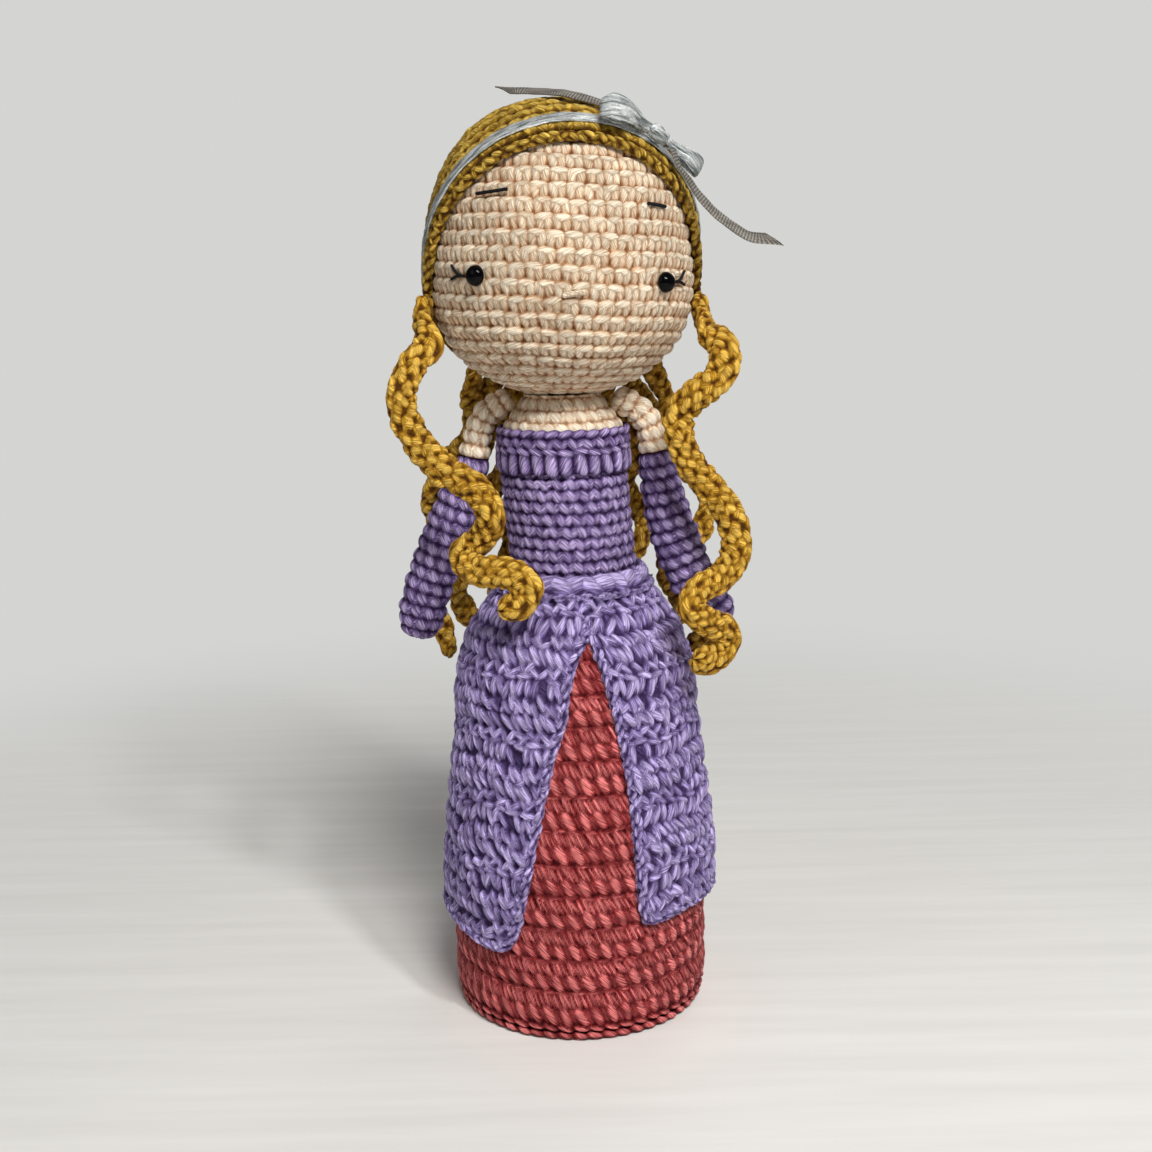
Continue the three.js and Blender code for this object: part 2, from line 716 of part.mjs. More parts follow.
const eyeRise = (side) => (side < 0 ? LEFT_EYE_RISE : RIGHT_EYE_RISE);
const eyeSeats = [-1, 1].map((side) => onHead(radians(side * EYE_ANGLE), eyeRise(side), 0));
const turnFace = (v) => v.clone().applyAxisAngle(UP, radians(FACE_TURN));
const postHoles = eyeSeats.map(({ point, out }) =>
  rod(POST_RADIUS + GAP, -FABRIC - OVERRUN / 4, OVERRUN, turnFace(point), turnFace(out)),
);
const washerRooms = eyeSeats.map(({ point, out }) =>
  rod(WASHER_RADIUS + GAP, -POST_LENGTH - 2 * GAP, OVERRUN, turnFace(point), turnFace(out)),
);
add(head, "head", cut(headShell, ...postHoles), PEACH);
add(head, "head_filling", cut(stuffed, ...washerRooms), WADDING);

["left", "right"].forEach((side, i) => {
  const { point, out } = eyeSeats[i];
  const stand = new THREE.Quaternion().setFromUnitVectors(UP, out);
  const eye = add(
    face,
    "eye_" + side,
    turned(
      [
        [0, -POST_LENGTH],
        [POST_RADIUS, -POST_LENGTH],
        [POST_RADIUS, GAP],
        [EYE_RADIUS, GAP],
        [EYE_RADIUS, GAP + EYE_DOME * 0.25],
        [EYE_RADIUS * 0.9, GAP + EYE_DOME * 0.6],
        [EYE_RADIUS * 0.6, GAP + EYE_DOME * 0.9],
        [0, GAP + EYE_DOME],
      ],
      ROUND_SMALL,
    ),
    BEAD,
  );
  eye.position.copy(point);
  eye.quaternion.copy(stand);
  const washerTop = -FABRIC - WASHER_SEAT;
  const washer = add(
    face,
    "eye_washer_" + side,
    shell(
      [
        [WASHER_RADIUS, washerTop - WASHER_THICKNESS],
        [WASHER_RADIUS, washerTop],
      ],
      [
        [POST_RADIUS + GAP, washerTop - WASHER_THICKNESS],
        [POST_RADIUS + GAP, washerTop],
      ],
      ROUND_SMALL,
    ),
    WASHER,
  );
  washer.position.copy(point);
  washer.quaternion.copy(stand);
});

// Stitches lie on the head's surface: each is a thread through points given as [angle, height]

function stitch(points, radius) {
  const lift = radius + GAP;
  const curve = new THREE.CatmullRomCurve3(points.map(([a, z]) => onHead(a, z, lift).point));
  const ends = radius / curve.getLength();
  return sweep(
    curve,
    stations(0, 1, points.length, ends, ends),
    LOCK_SIDES,
    () => radius,
    () => radius,
    (at, centre) => centre,
  );
}

const across = (length, z) => length / ovalRadius(z, 0);
add(
  face,
  "nose_stitch",
  stitch(
    [-1, 0, 1].map((k) => [across((k * NOSE_WIDTH) / 2, -NOSE_DROP), k * NOSE_TILT - NOSE_DROP]),
    NOSE_RADIUS,
  ),
  PEACH,
);
["left", "right"].forEach((name, i) => {
  const side = i ? 1 : -1;
  const browRise = i ? RIGHT_BROW_RISE : LEFT_BROW_RISE;
  const browAngle = radians(i ? RIGHT_BROW_ANGLE : LEFT_BROW_ANGLE);
  const browWidth = i ? RIGHT_BROW_WIDTH : LEFT_BROW_WIDTH;
  const brow = [-1, 0, 1].map((k) => [
    side * browAngle + across((k * browWidth) / 2, browRise),
    browRise - k * side * BROW_TILT,
  ]);
  add(face, "brow_" + name, stitch(brow, THREAD_RADIUS), THREAD);
  const [near, far] = [LASH_START, LASH_START + LASH_LENGTH];
  const at = (along, up) => [
    side * (radians(EYE_ANGLE) + across(along, eyeRise(side))),
    eyeRise(side) + up,
  ];
  const middle = (near + far) / 2;
  const upper = stitch([at(near, 0), at(middle, LASH_SPREAD / 5), at(far, LASH_SPREAD)], THREAD_RADIUS);
  const lower = stitch([at(near, 0), at(middle, 0), at(far, -LASH_SPREAD / 4)], THREAD_RADIUS);
  add(face, "lash_" + name, geometryOf(solidOf(upper).add(solidOf(lower))), THREAD);
});

// Cap of the hair: a shell over the back of the head, cut off in front by the leaning plane of the rim

const rimNormal = new THREE.Vector3(-RIM_SKEW, 1, RIM_SLOPE);
const lean = rimNormal.length();
rimNormal.normalize();
const hairlineAt = -RIM_FORWARD / lean + HAIRLINE_RADIUS;
const capRimAt = hairlineAt + HAIRLINE_RADIUS + GAP;
const capGrow = GAP + CAP_THICKNESS;
const capShell = shell(
  ovalProfile(capGrow, 0, CAP_BOTTOM, OVAL_ROWS),
  ovalProfile(GAP, 0, CAP_BOTTOM, OVAL_ROWS),
  ROUND,
);
const ahead = block(rimNormal.clone().multiplyScalar(capRimAt), rimNormal);
add(head, "wig_cap", cut(capShell, ahead), MUSTARD);

const arc = Array.from({ length: ROUND + 1 }, (_, i) => radians(-30 + (240 * i) / ROUND));
const hairlinePoints = planeOnHead(rimNormal, hairlineAt, GAP + HAIRLINE_RADIUS, arc).filter(
  (p) => p.z > -HAIRLINE_END,
);
const hairlineCurve = new THREE.CatmullRomCurve3(hairlinePoints);
const hairlineTip = HAIRLINE_RADIUS / hairlineCurve.getLength();
add(
  head,
  "hairline_edge",
  sweep(
    hairlineCurve,
    stations(0, 1, ROUND, hairlineTip, hairlineTip),
    EDGE_SIDES,
    () => HAIRLINE_RADIUS,
    () => HAIRLINE_RADIUS,
    (at, centre) => centre,
  ),
  MUSTARD,
);

// Locks: flat crocheted strips that turn as they hang

function lock(name, points, width, facing, steps) {
  const curve = new THREE.CatmullRomCurve3(points);
  const tip = width / 2 / curve.getLength();
  const geometry = sweep(
    curve,
    stations(0, 1, steps, tip, tip),
    LOCK_SIDES,
    () => width / 2,
    () => LOCK_DEPTH / 2,
    facing,
  );
  add(head, name, geometry, MUSTARD);
}

const route = (shares, scale) => shares.map((p) => new THREE.Vector3(...p).multiplyScalar(scale));
const FRONT = new THREE.Vector3(0, -1, 0);
// The front locks carry on from the ends of the hairline. They lie flat on the head there, and have turned
// to the front where they hang free.
const turning = (side) => (at) => {
  const k = THREE.MathUtils.smoothstep(at, 0.03, 0.17);
  return new THREE.Vector3(side * (1 - k), -k, 0);
};
const rightRoot = hairlineCurve.getPoint(0).addScaledVector(hairlineCurve.getTangent(0), -2 * GAP);
const leftRoot = hairlineCurve.getPoint(1).addScaledVector(hairlineCurve.getTangent(1), 2 * GAP);
const leftRoute = [leftRoot, ...route(LOCK_LEFT_SHARES, HEAD_RADIUS)];
const rightRoute = [rightRoot, ...route(LOCK_RIGHT_SHARES, HEAD_RADIUS)];
lock("lock_front_left", leftRoute, LOCK_WIDTH, turning(-1), 30);
lock("lock_front_right", rightRoute, LOCK_WIDTH, turning(1), 34);

// The back locks hang from the cap's lower edge as loose corkscrews. Each starts under the middle of the
// cap's wall and swings out to HANG_RADIUS, clear of the skirt.
const rootRadius = ovalRadius(-CAP_BOTTOM, GAP + CAP_THICKNESS / 2);
const rootHeight = -CAP_BOTTOM - GAP;
const lockDrop = HEAD_CENTRE - BACK_LOCK_BOTTOM + rootHeight;
for (const side of [-1, 1]) {
  for (let j = 0; j < LOCKS_A_SIDE; j++) {
    const swing = (t) => THREE.MathUtils.smoothstep(t, 0, 0.55);
    const step = (t) => BACK_ROOT_STEP + (BACK_LOCK_STEP - BACK_ROOT_STEP) * swing(t);
    const azimuth = (t) => side * radians(BACK_LOCK_FIRST + j * step(t));
    const out = (t) => new THREE.Vector3(Math.sin(azimuth(t)), Math.cos(azimuth(t)), 0);
    const aside = (t) => new THREE.Vector3(Math.cos(azimuth(t)), -Math.sin(azimuth(t)), 0);
    const drop = lockDrop * BACK_LENGTH_SHARES[j];
    const turn = (t) => radians(90 * j) + 2 * Math.PI * COIL_TURNS * t;
    const spread = (t) => Math.min(1, t / 0.15);
    const points = Array.from({ length: ROUND }, (_, i) => {
      const t = i / (ROUND - 1);
      const r = rootRadius + (HANG_RADIUS - rootRadius) * swing(t);
      const coil = COIL_RADIUS * spread(t);
      return out(t)
        .multiplyScalar(r + coil * Math.cos(turn(t)))
        .addScaledVector(aside(t), coil * Math.sin(turn(t)))
        .addScaledVector(UP, rootHeight - drop * t);
    });
    const facing = (t) =>
      out(t).multiplyScalar(Math.cos(turn(t))).addScaledVector(aside(t), Math.sin(turn(t)));
    const name = "lock_back_" + (side < 0 ? "left_" : "right_") + (j + 1);
    lock(name, points, BACK_LOCK_WIDTH, facing, 22);
  }
}

// Ribbon: a band cut from a thin shell over the cap by two planes, with its ends tucked in at the sides

const bandNormal = new THREE.Vector3(-RIBBON_SKEW, 1, RIBBON_SLOPE);
const bandLean = bandNormal.length();
bandNormal.normalize();
const bandAt = RIBBON_BACK / bandLean;
const underBand = capGrow + GAP;
const overBand = underBand + RIBBON_THICKNESS;
const bandShell = shell(
  ovalProfile(overBand, 0, RIBBON_END, OVAL_ROWS),
  ovalProfile(underBand, 0, RIBBON_END, OVAL_ROWS),
  ROUND,
);
const bandFront = block(bandNormal.clone().multiplyScalar(bandAt - RIBBON_WIDTH / 2), bandNormal);
const backward = bandNormal.clone().negate();
const bandBack = block(bandNormal.clone().multiplyScalar(bandAt + RIBBON_WIDTH / 2), backward);
add(head, "ribbon_band", cut(bandShell, bandFront, bandBack), SATIN);

// The bow sits on the band where the band passes BOW_X. Its pieces are placed by their distance along the
// band from there, to the left, and by their height over the band.
const bandTurns = Array.from({ length: 8 * ROUND }, (_, i) => radians((180 * i) / (8 * ROUND)));
const bandLine = planeOnHead(bandNormal, bandAt, overBand, bandTurns);
const bowIndex = bandLine.findIndex((p) => p.x < BOW_X);

function onBand(distance, height) {
  const step = Math.sign(distance) || 1;
  let i = bowIndex;
  let left = Math.abs(distance);
  let piece = bandLine[i].distanceTo(bandLine[i + step]);
  while (left > piece) {
    left -= piece;
    i += step;
    piece = bandLine[i].distanceTo(bandLine[i + step]);
  }
  const p = bandLine[i].clone().lerp(bandLine[i + step], left / piece);
  const { out } = onHead(Math.atan2(p.x, -p.y), p.z, overBand);
  return { point: p.addScaledVector(out, height), out };
}

const knotHeight = KNOT_DEPTH / 2 + GAP;
const knotCurve = new THREE.LineCurve3(
  onBand(-KNOT_LENGTH / 2, knotHeight).point,
  onBand(KNOT_LENGTH / 2, knotHeight).point,
);
add(
  head,
  "ribbon_knot",
  sweep(
    knotCurve,
    stations(0, 1, 2, 0.3, 0.3),
    EDGE_SIDES,
    () => RIBBON_WIDTH / 2,
    () => KNOT_DEPTH / 2,
    () => onBand(0, 0).out,
  ),
  SATIN,
);

// A loop of ribbon leaves the knot low, turns round, and comes back above itself
function bowLoop(name, way, length, height) {
  const start = KNOT_LENGTH / 2 + GAP;
  const low = knotHeight - KNOT_DEPTH / 8;
  const points = [
    [0, 0],
    [0.4, 0],
    [0.8, 0.04],
    [1, 0.45],
    [0.84, 0.98],
    [0.4, 0.8],
    [0, 0.3],
  ].map(([share, up]) => onBand(way * (start + share * length), low + up * height).point);
  const curve = new THREE.CatmullRomCurve3(points);
  const middle = points.reduce((sum, p) => sum.add(p), new THREE.Vector3()).divideScalar(points.length);
  const geometry = sweep(
    curve,
    stations(0, 1, 14, 0, 0),
    4,
    (at) => (RIBBON_WIDTH / 2) * (0.62 + 0.6 * Math.sin(Math.PI * at)),
    () => RIBBON_THICKNESS / 2,
    (at, centre) => centre.clone().sub(middle),
  );
  add(head, name, geometry, SATIN);
}
bowLoop("ribbon_loop_left", 1, LOOP_LENGTH, LOOP_HEIGHT);
bowLoop("ribbon_loop_right", -1, SMALL_LOOP_LENGTH, SMALL_LOOP_HEIGHT);

// A tail leaves the knot under its loop, lies on the band, and ends free
function tail(name, way, onto, shares, facing) {
  const start = KNOT_LENGTH / 2 + GAP;
  const low = RIBBON_THICKNESS / 2 + 2 * GAP;
  const points = [
    ...[0, 0.5, 1].map((share) => onBand(way * (start + share * onto), low).point),
    ...route(shares, HEAD_RADIUS),
  ];
  const geometry = sweep(
    new THREE.CatmullRomCurve3(points),
    stations(0, 1, 14, 0, 0),
    4,
    () => TAIL_WIDTH / 2,
    () => RIBBON_THICKNESS / 2,
    facing,
  );
  add(head, name, geometry, SATIN);
}
tail("ribbon_tail_left", 1, LOOP_LENGTH * TAIL_ON_BAND_SHARE, TAIL_LEFT_SHARES, (at, centre) => centre);
tail("ribbon_tail_right", -1, KNOT_LENGTH / 4, TAIL_RIGHT_SHARES, (at, centre) => centre);

// Arms: each is a group at its shoulder, where it pivots. Half a ball at each end closes it.

function ringAt(centre, along, radius) {
  const across = new THREE.Vector3().crossVectors(FRONT, along).normalize();
  return Array.from({ length: ARM_SIDES }, (_, j) => {
    const angle = (j / ARM_SIDES) * 2 * Math.PI;
    return centre
      .clone()
      .addScaledVector(across, radius * Math.cos(angle))
      .addScaledVector(FRONT, radius * Math.sin(angle));
  });
}

function armRings(curve, from, to, steps, radiusAt) {
  return Array.from({ length: steps + 1 }, (_, i) => {
    const at = from + ((to - from) * i) / steps;
    return ringAt(curve.getPointAt(at), curve.getTangentAt(at), radiusAt(at));
  });
}

// Half a ball past an end of the curve, its rings in the order that the arm is built in
function ballEnd(curve, at, radius) {
  const along = curve.getTangentAt(at);
  const way = at ? 1 : -1;
  const rings = [28, 55, 80].map((degrees) => {
    const angle = radians(degrees);
    const centre = curve.getPointAt(at).addScaledVector(along, way * radius * Math.sin(angle));
    return ringAt(centre, along, radius * Math.cos(angle));
  });
  return at ? rings : rings.reverse();
}

["left", "right"].forEach((name, i) => {
  const side = i ? 1 : -1;
  const arm = new THREE.Group();
  arm.position.set(side * SHOULDER_X - TORSO_LEAN, 0, SHOULDER_HEIGHT);
  doll.add(arm);
  const curve = new THREE.CatmullRomCurve3(
    (i ? ARM_RIGHT_SHARES : ARM_LEFT_SHARES).map(
      ([out, down]) => new THREE.Vector3(side * out * ARM_REACH, 0, -down * ARM_DROP),
    ),
  );
  const radiusAt = (at) =>
    SHOULDER_RADIUS + (HAND_RADIUS - SHOULDER_RADIUS) * ramp(ARM_RADIUS_SHARES, at);
  const gloveFrom = GLOVE_START + GAP / curve.getLength();
  const bare = [...ballEnd(curve, 0, radiusAt(0)), ...armRings(curve, 0, GLOVE_START, 5, radiusAt)];
  const gloved = [...armRings(curve, gloveFrom, 1, 8, radiusAt), ...ballEnd(curve, 1, radiusAt(1))];
  add(arm, "upper_arm_" + name, loft(bare), PEACH);
  add(arm, "glove_" + name, loft(gloved), LILAC);
});

export default doll;
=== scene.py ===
import math

import bpy
import numpy as np
from mathutils import Matrix, Vector


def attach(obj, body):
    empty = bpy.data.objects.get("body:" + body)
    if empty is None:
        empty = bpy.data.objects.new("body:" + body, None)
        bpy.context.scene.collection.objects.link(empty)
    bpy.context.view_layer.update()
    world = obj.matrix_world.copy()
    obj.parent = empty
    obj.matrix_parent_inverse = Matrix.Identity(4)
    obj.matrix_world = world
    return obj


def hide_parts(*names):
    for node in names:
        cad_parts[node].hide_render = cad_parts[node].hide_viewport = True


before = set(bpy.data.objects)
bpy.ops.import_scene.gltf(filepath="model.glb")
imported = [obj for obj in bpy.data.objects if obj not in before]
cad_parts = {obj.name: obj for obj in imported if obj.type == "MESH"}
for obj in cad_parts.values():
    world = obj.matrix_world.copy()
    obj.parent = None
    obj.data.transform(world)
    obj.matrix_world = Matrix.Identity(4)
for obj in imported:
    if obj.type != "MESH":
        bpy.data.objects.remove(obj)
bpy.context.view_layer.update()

# Everything is worked out in millimetres, with the doll's axis on Z and its face towards -Y, and turned
# into metres when a mesh is made. Left and right are the viewer's.

# ---------------------------------------------------------------- camera, light, floor

PHOTO_WIDTH, FOCAL_LENGTH = 1152, 1437  # in the photograph's pixels
LOOKS_DOWN, ROLL, SENSOR = 11.26, -1.1, 36
WALL = (0.66, 0.66, 0.645, 1)


def linked(name, data, place=(0, 0, 0), turned=None):
    """A new object in the scene."""
    obj = bpy.data.objects.new(name, data)
    obj.location = place
    if turned is not None:
        obj.rotation_mode = "QUATERNION"
        obj.rotation_quaternion = turned
    bpy.context.scene.collection.objects.link(obj)
    return obj


def lamp(name, place, aim_height, size, power, colour=(1, 1, 1)):
    """A round lamp, in metres and watts, that looks at a point on the doll's axis."""
    data = bpy.data.lights.new(name, "AREA")
    data.shape, data.size, data.energy, data.color = "DISK", size, power, colour
    linked(name, data, place, (Vector((0, 0, aim_height)) - Vector(place)).to_track_quat("-Z", "Y"))


tilt = Matrix.Rotation(math.radians(90 - LOOKS_DOWN), 4, "X") @ Matrix.Rotation(math.radians(ROLL), 4, "Z")
camera = linked("camera", bpy.data.cameras.new("camera"), (0.0008, -0.46, 0.2344), tilt.to_quaternion())
camera.data.sensor_width = SENSOR
camera.data.lens = SENSOR * FOCAL_LENGTH / PHOTO_WIDTH
camera.data.clip_start = 0.01
bpy.context.scene.camera = camera
bpy.context.scene.view_settings.view_transform = "Standard"

lamp("key", (0.25, -1.0, 1.25), 0.15, 0.5, 14.6, (1, 0.985, 0.95))
lamp("fill", (-1.2, -0.8, 0.9), 0.15, 1.0, 1.8, (0.96, 0.98, 1))
lamp("catch", (0.38, -0.62, 0.75), 0.2, 0.1, 3.3)
lamp("back", (0.6, 1.4, 1.0), 0.15, 1.0, 3.6)


class Nodes:
    """A material's or the world's nodes, made and joined by name."""

    def __init__(self, owner):
        owner.use_nodes = True
        self.owner, self.tree = owner, owner.node_tree
        self.tree.nodes.clear()

    def add(self, kind, inputs=None, **settings):
        node = self.tree.nodes.new(kind)
        for key, value in settings.items():
            setattr(node, key, value)
        for key, value in (inputs or {}).items():
            if isinstance(value, bpy.types.NodeSocket):
                self.tree.links.new(value, node.inputs[key])
            else:
                node.inputs[key].default_value = value
        return node

    def own(self):
        """The yarn's own coordinates in mm, which each vertex carries."""
        return self.add("ShaderNodeAttribute", attribute_name="yarn").outputs["Vector"]

    def place(self):
        return self.add("ShaderNodeTexCoord").outputs["Object"]

    def math(self, operation, *values):
        return self.add("ShaderNodeMath", dict(enumerate(values)), operation=operation).outputs[0]

    def plus(self, a, b, share):
        """a + b * share"""
        return self.math("ADD", a, self.math("MULTIPLY", b, share))

    def scaled(self, vector, scale):
        node = self.add("ShaderNodeVectorMath", {0: vector, 1: scale, 2: (0, 0, 0)}, operation="MULTIPLY_ADD")
        return node.outputs[0]

    def noise(self, vector, scale=1.0, detail=2.0, rough=0.5, distortion=0.0):
        names = ("Vector", "Scale", "Detail", "Roughness", "Distortion")
        inputs = dict(zip(names, (vector, scale, detail, rough, distortion)))
        return self.add("ShaderNodeTexNoise", inputs).outputs["Fac"]

    def ramp(self, fac, *stops):
        node = self.add("ShaderNodeValToRGB", {"Fac": fac})
        while len(node.color_ramp.elements) < len(stops):
            node.color_ramp.elements.new(0.5)
        for element, (at, colour) in zip(node.color_ramp.elements, stops):
            element.position = at
            element.color = (*colour, 1) if hasattr(colour, "__len__") else (colour, colour, colour, 1)
        return node.outputs["Color"]

    def from_to(self, fac, low, high):
        return self.ramp(fac, (0.3, low), (0.7, high))

    def times(self, a, b, share=1.0):
        """The colour a times b, by a share."""
        node = self.add("ShaderNodeMix", {0: share, 6: a, 7: b}, data_type="RGBA", blend_type="MULTIPLY")
        return node.outputs[2]

    def bump(self, height, strength, distance):
        inputs = {"Height": height, "Strength": strength, "Distance": distance}
        return self.add("ShaderNodeBump", inputs).outputs["Normal"]

    def shader(self, colour, roughness, normal, **fixed):
        """Ends a material and returns it."""
        inputs = {"Base Color": colour, "Roughness": roughness, "Normal": normal}
        inputs.update({key.replace("_", " "): value for key, value in fixed.items()})
        bsdf = self.add("ShaderNodeBsdfPrincipled", inputs)
        self.add("ShaderNodeOutputMaterial", {"Surface": bsdf.outputs[0]})
        return self.owner

    def blend(self, output, fac, a, b):
        """Ends a tree with a blend of two shaders."""
        both = self.add("ShaderNodeMixShader", {0: fac, 1: a.outputs[0], 2: b.outputs[0]})
        self.add(output, {"Surface": both.outputs[0]})


def studio():
    """A wall-coloured backdrop that lights the doll only faintly."""
    world = bpy.data.worlds.new("studio")
    bpy.context.scene.world = world
    n = Nodes(world)
    rays = n.add("ShaderNodeLightPath").outputs
    seen = n.math("MAXIMUM", rays["Is Camera Ray"], rays["Is Transmission Ray"])
    light = n.add("ShaderNodeBackground", {"Color": (1, 0.985, 0.96, 1), "Strength": 0.11})
    back = n.add("ShaderNodeBackground", {"Color": WALL, "Strength": 1.0})
    n.blend("ShaderNodeOutputWorld", seen, light, back)


def stage_floor():
    """A wide round floor that fades into the wall's colour away from the doll."""
    radius, corners = 3, 96
    angles = np.linspace(0, 2 * math.pi, corners, endpoint=False)
    rim = [(radius * math.cos(a), radius * math.sin(a), 0) for a in angles]
    data = bpy.data.meshes.new("floor")
    data.from_pydata(rim, [], [list(range(corners))])
    m = Nodes(bpy.data.materials.new("floor"))
    place = m.add("ShaderNodeNewGeometry").outputs["Position"]
    grain = m.noise(m.scaled(place, (6, 90, 1)), 1.0, 4.0, 0.6)
    near = m.add("ShaderNodeBsdfDiffuse", {"Color": m.from_to(grain, (0.84, 0.83, 0.8), (0.92, 0.91, 0.885))})
    plain = m.add("ShaderNodeEmission", {"Color": WALL, "Strength": 1.0})
    far = m.add("ShaderNodeVectorMath", {0: place}, operation="LENGTH").outputs["Value"]
    away = m.add("ShaderNodeMapRange", {0: far, 1: 0.12, 2: 0.6}, interpolation_type="SMOOTHSTEP").outputs[0]
    fade = m.math("MULTIPLY", away, m.add("ShaderNodeLightPath").outputs["Is Camera Ray"])
    m.blend("ShaderNodeOutputMaterial", fade, near, plain)
    data.materials.append(m.owner)
    linked("floor", data)


studio()
stage_floor()

# ---------------------------------------------------------------- materials


def yarn(name, dark, deep, body, light, gloss=0.4, strand=(0.58, 0.98, 1.46)):
    """Plied yarn. Each vertex carries the yarn's own coordinates in mm (across and along its strands), a tone
    for its grain of yarn, and how far it stands out of the fabric."""
    m = Nodes(bpy.data.materials.new(name))
    own = m.own()
    depth = m.add("ShaderNodeAttribute", attribute_name="depth").outputs["Fac"]
    tone = m.add("ShaderNodeSeparateXYZ", {0: own}).outputs["Z"]
    place = m.place()
    strands = m.noise(m.scaled(own, (3.1, 0.22, 37.0)), 1.0, 1.0, 0.5, 0.2)
    fibres = m.noise(m.scaled(own, (5.0, 0.6, 19.0)), 1.0, 2.0, 0.6)
    fuzz = m.noise(place, 2600.0, 2.0, 0.6)
    dye = m.noise(place, 60.0, 3.0, 0.6)
    # painted shade and light: the colour follows how far the yarn stands out (depth). It runs from dark and
    # deep, painted shade in the crevices between grains, through body, to light, painted light on the grains'
    # tops
    high = m.plus(depth, m.math("SUBTRACT", strands, 0.5), 0.5)
    colour = m.ramp(high, (0.08, dark), (0.42, deep), (0.74, body), (1.0, light))
    # the strands' ramp is partly the plies' own pattern, darker between them, and partly painted glints: its
    # stops above 1 brighten the strands the way highlights would
    colour = m.times(colour, m.ramp(strands, *zip((0.34, 0.5, 0.66), strand)))
    colour = m.times(colour, m.from_to(fibres, 0.76, 1.24), 0.7)
    colour = m.times(colour, m.from_to(dye, 0.92, 1.07))
    colour = m.times(colour, m.ramp(tone, (0.0, 0.9), (1.0, 1.1)))
    normal = m.bump(m.plus(m.plus(strands, fibres, 0.35), fuzz, 0.25), 0.8, 0.0005)
    rough = m.ramp(strands, (0.3, min(1, gloss + 0.25)), (0.75, gloss))
    return m.shader(colour, rough, normal, Sheen_Weight=0.02, Sheen_Roughness=0.5, Specular_IOR_Level=0.12)


def satin(name, dark, light, metal, rough, ribs):
    """Ribbon. Each vertex carries its place on the ribbon in mm: across it and along it."""
    rib_pitch = 0.95
    m = Nodes(bpy.data.materials.new(name))
    own = m.own()
    along = m.add("ShaderNodeSeparateXYZ", {0: own}).outputs["Y"]
    creases_and_painted_sheen = m.noise(m.scaled(own, (1.1, 0.12, 3.0)), 1.0, 3.0, 0.65, 0.4)
    threads = m.noise(m.scaled(own, (14.0, 1.2, 5.0)))
    cross = m.math("SINE", m.math("MULTIPLY", along, 2 * math.pi / rib_pitch))
    # painted shade and sheen: the colour runs from dark in the creases' hollows to light on their crowns, and
    # the same creases also set the bump
    colour = m.ramp(creases_and_painted_sheen, (0.38, dark), (0.62, light))
    colour = m.times(colour, m.from_to(threads, 0.82, 1.12), 0.8)
    # painted shade: the ribbed side is darker in the grooves between its ribs
    if ribs:
        colour = m.times(colour, m.ramp(m.math("MULTIPLY_ADD", cross, 0.5, 0.5), (0.1, 0.45), (0.7, 1.0)))
    height = m.plus(m.math("MULTIPLY", creases_and_painted_sheen, 1.4), threads, 0.25)
    normal = m.bump(m.plus(height, cross, 0.3 if ribs else 0.03), 0.9, 0.0006)
    return m.shader(colour, m.from_to(threads, rough, rough + 0.18), normal, Metallic=metal)


def grained(name, dark, light, roughness, bump, noise, stretch=(1, 1, 1), on_yarn=False, low=0.3, **fixed):
    """A material with one grain, which sets its colour, its roughness and its bump (strength and metres)."""
    m = Nodes(bpy.data.materials.new(name))
    grain = m.noise(m.scaled(m.own() if on_yarn else m.place(), stretch), *noise)
    colour = m.ramp(grain, (low, dark), (0.7, light))
    return m.shader(colour, m.from_to(grain, *roughness), m.bump(grain, *bump), **fixed)


# SOFT is a gentler strands' ramp, made of the plies' pattern and painted glints
SOFT, MATTE = (0.8, 0.99, 1.2), 0.65
# each yarn's colours: dark and deep are painted shade for its crevices, body is its own colour, and light is
# painted light on its tops
PEACH = yarn("peach_yarn", (0.2, 0.058, 0.016), (0.42, 0.195, 0.085), (0.66, 0.48, 0.32), (0.8, 0.69, 0.54),
             MATTE, SOFT)
# painted light: a paler copy of the peach yarn for the chest and arms, brighter than the face's peach to stand
# in for light where the head shades them
LIMBS_PAINTED_LIGHT = yarn("peach_limbs_painted_light", (0.42, 0.19, 0.085), (0.74, 0.49, 0.31), (0.91, 0.74, 0.555), (0.94, 0.84, 0.68),
             MATTE, SOFT)
# the lilac of the bodice, band and gloves: its more purple hue is the yarn's own, and it is darker than the
# skirt's lilac partly as painted shade
LILAC = yarn("lilac_yarn", (0.015, 0.004, 0.036), (0.068, 0.034, 0.122), (0.185, 0.127, 0.295),
             (0.42, 0.33, 0.57))
SKIRT = yarn("lilac_skirt", (0.022, 0.009, 0.06), (0.115, 0.073, 0.215), (0.26, 0.197, 0.43),
             (0.48, 0.395, 0.69), strand=(0.56, 0.98, 1.5))
ROSE = yarn("rose_yarn", (0.03, 0.0005, 0.001), (0.12, 0.004, 0.006), (0.31, 0.038, 0.041), (0.68, 0.18, 0.175))
GOLD = yarn("mustard_yarn", (0.06, 0.016, 0.0005), (0.19, 0.075, 0.004), (0.44, 0.22, 0.015),
            (0.72, 0.44, 0.075), strand=(0.64, 0.98, 1.36))
CAP_GOLD = yarn("mustard_cap", (0.05, 0.015, 0.0005), (0.14, 0.06, 0.004), (0.3, 0.17, 0.015),
                (0.56, 0.37, 0.07))
WADDING = yarn("wadding", (0.7, 0.69, 0.66), (0.76, 0.75, 0.72), (0.82, 0.81, 0.78), (0.88, 0.87, 0.85), 0.8)
THREAD = grained("black_thread", (0.003, 0.003, 0.004), (0.012, 0.011, 0.014), (0.9, 0.6), (0.5, 0.0002),
                 (1.0, 2.0, 0.6), (4.0, 0.5, 11.0), True, 0.35, Specular_IOR_Level=0.2)
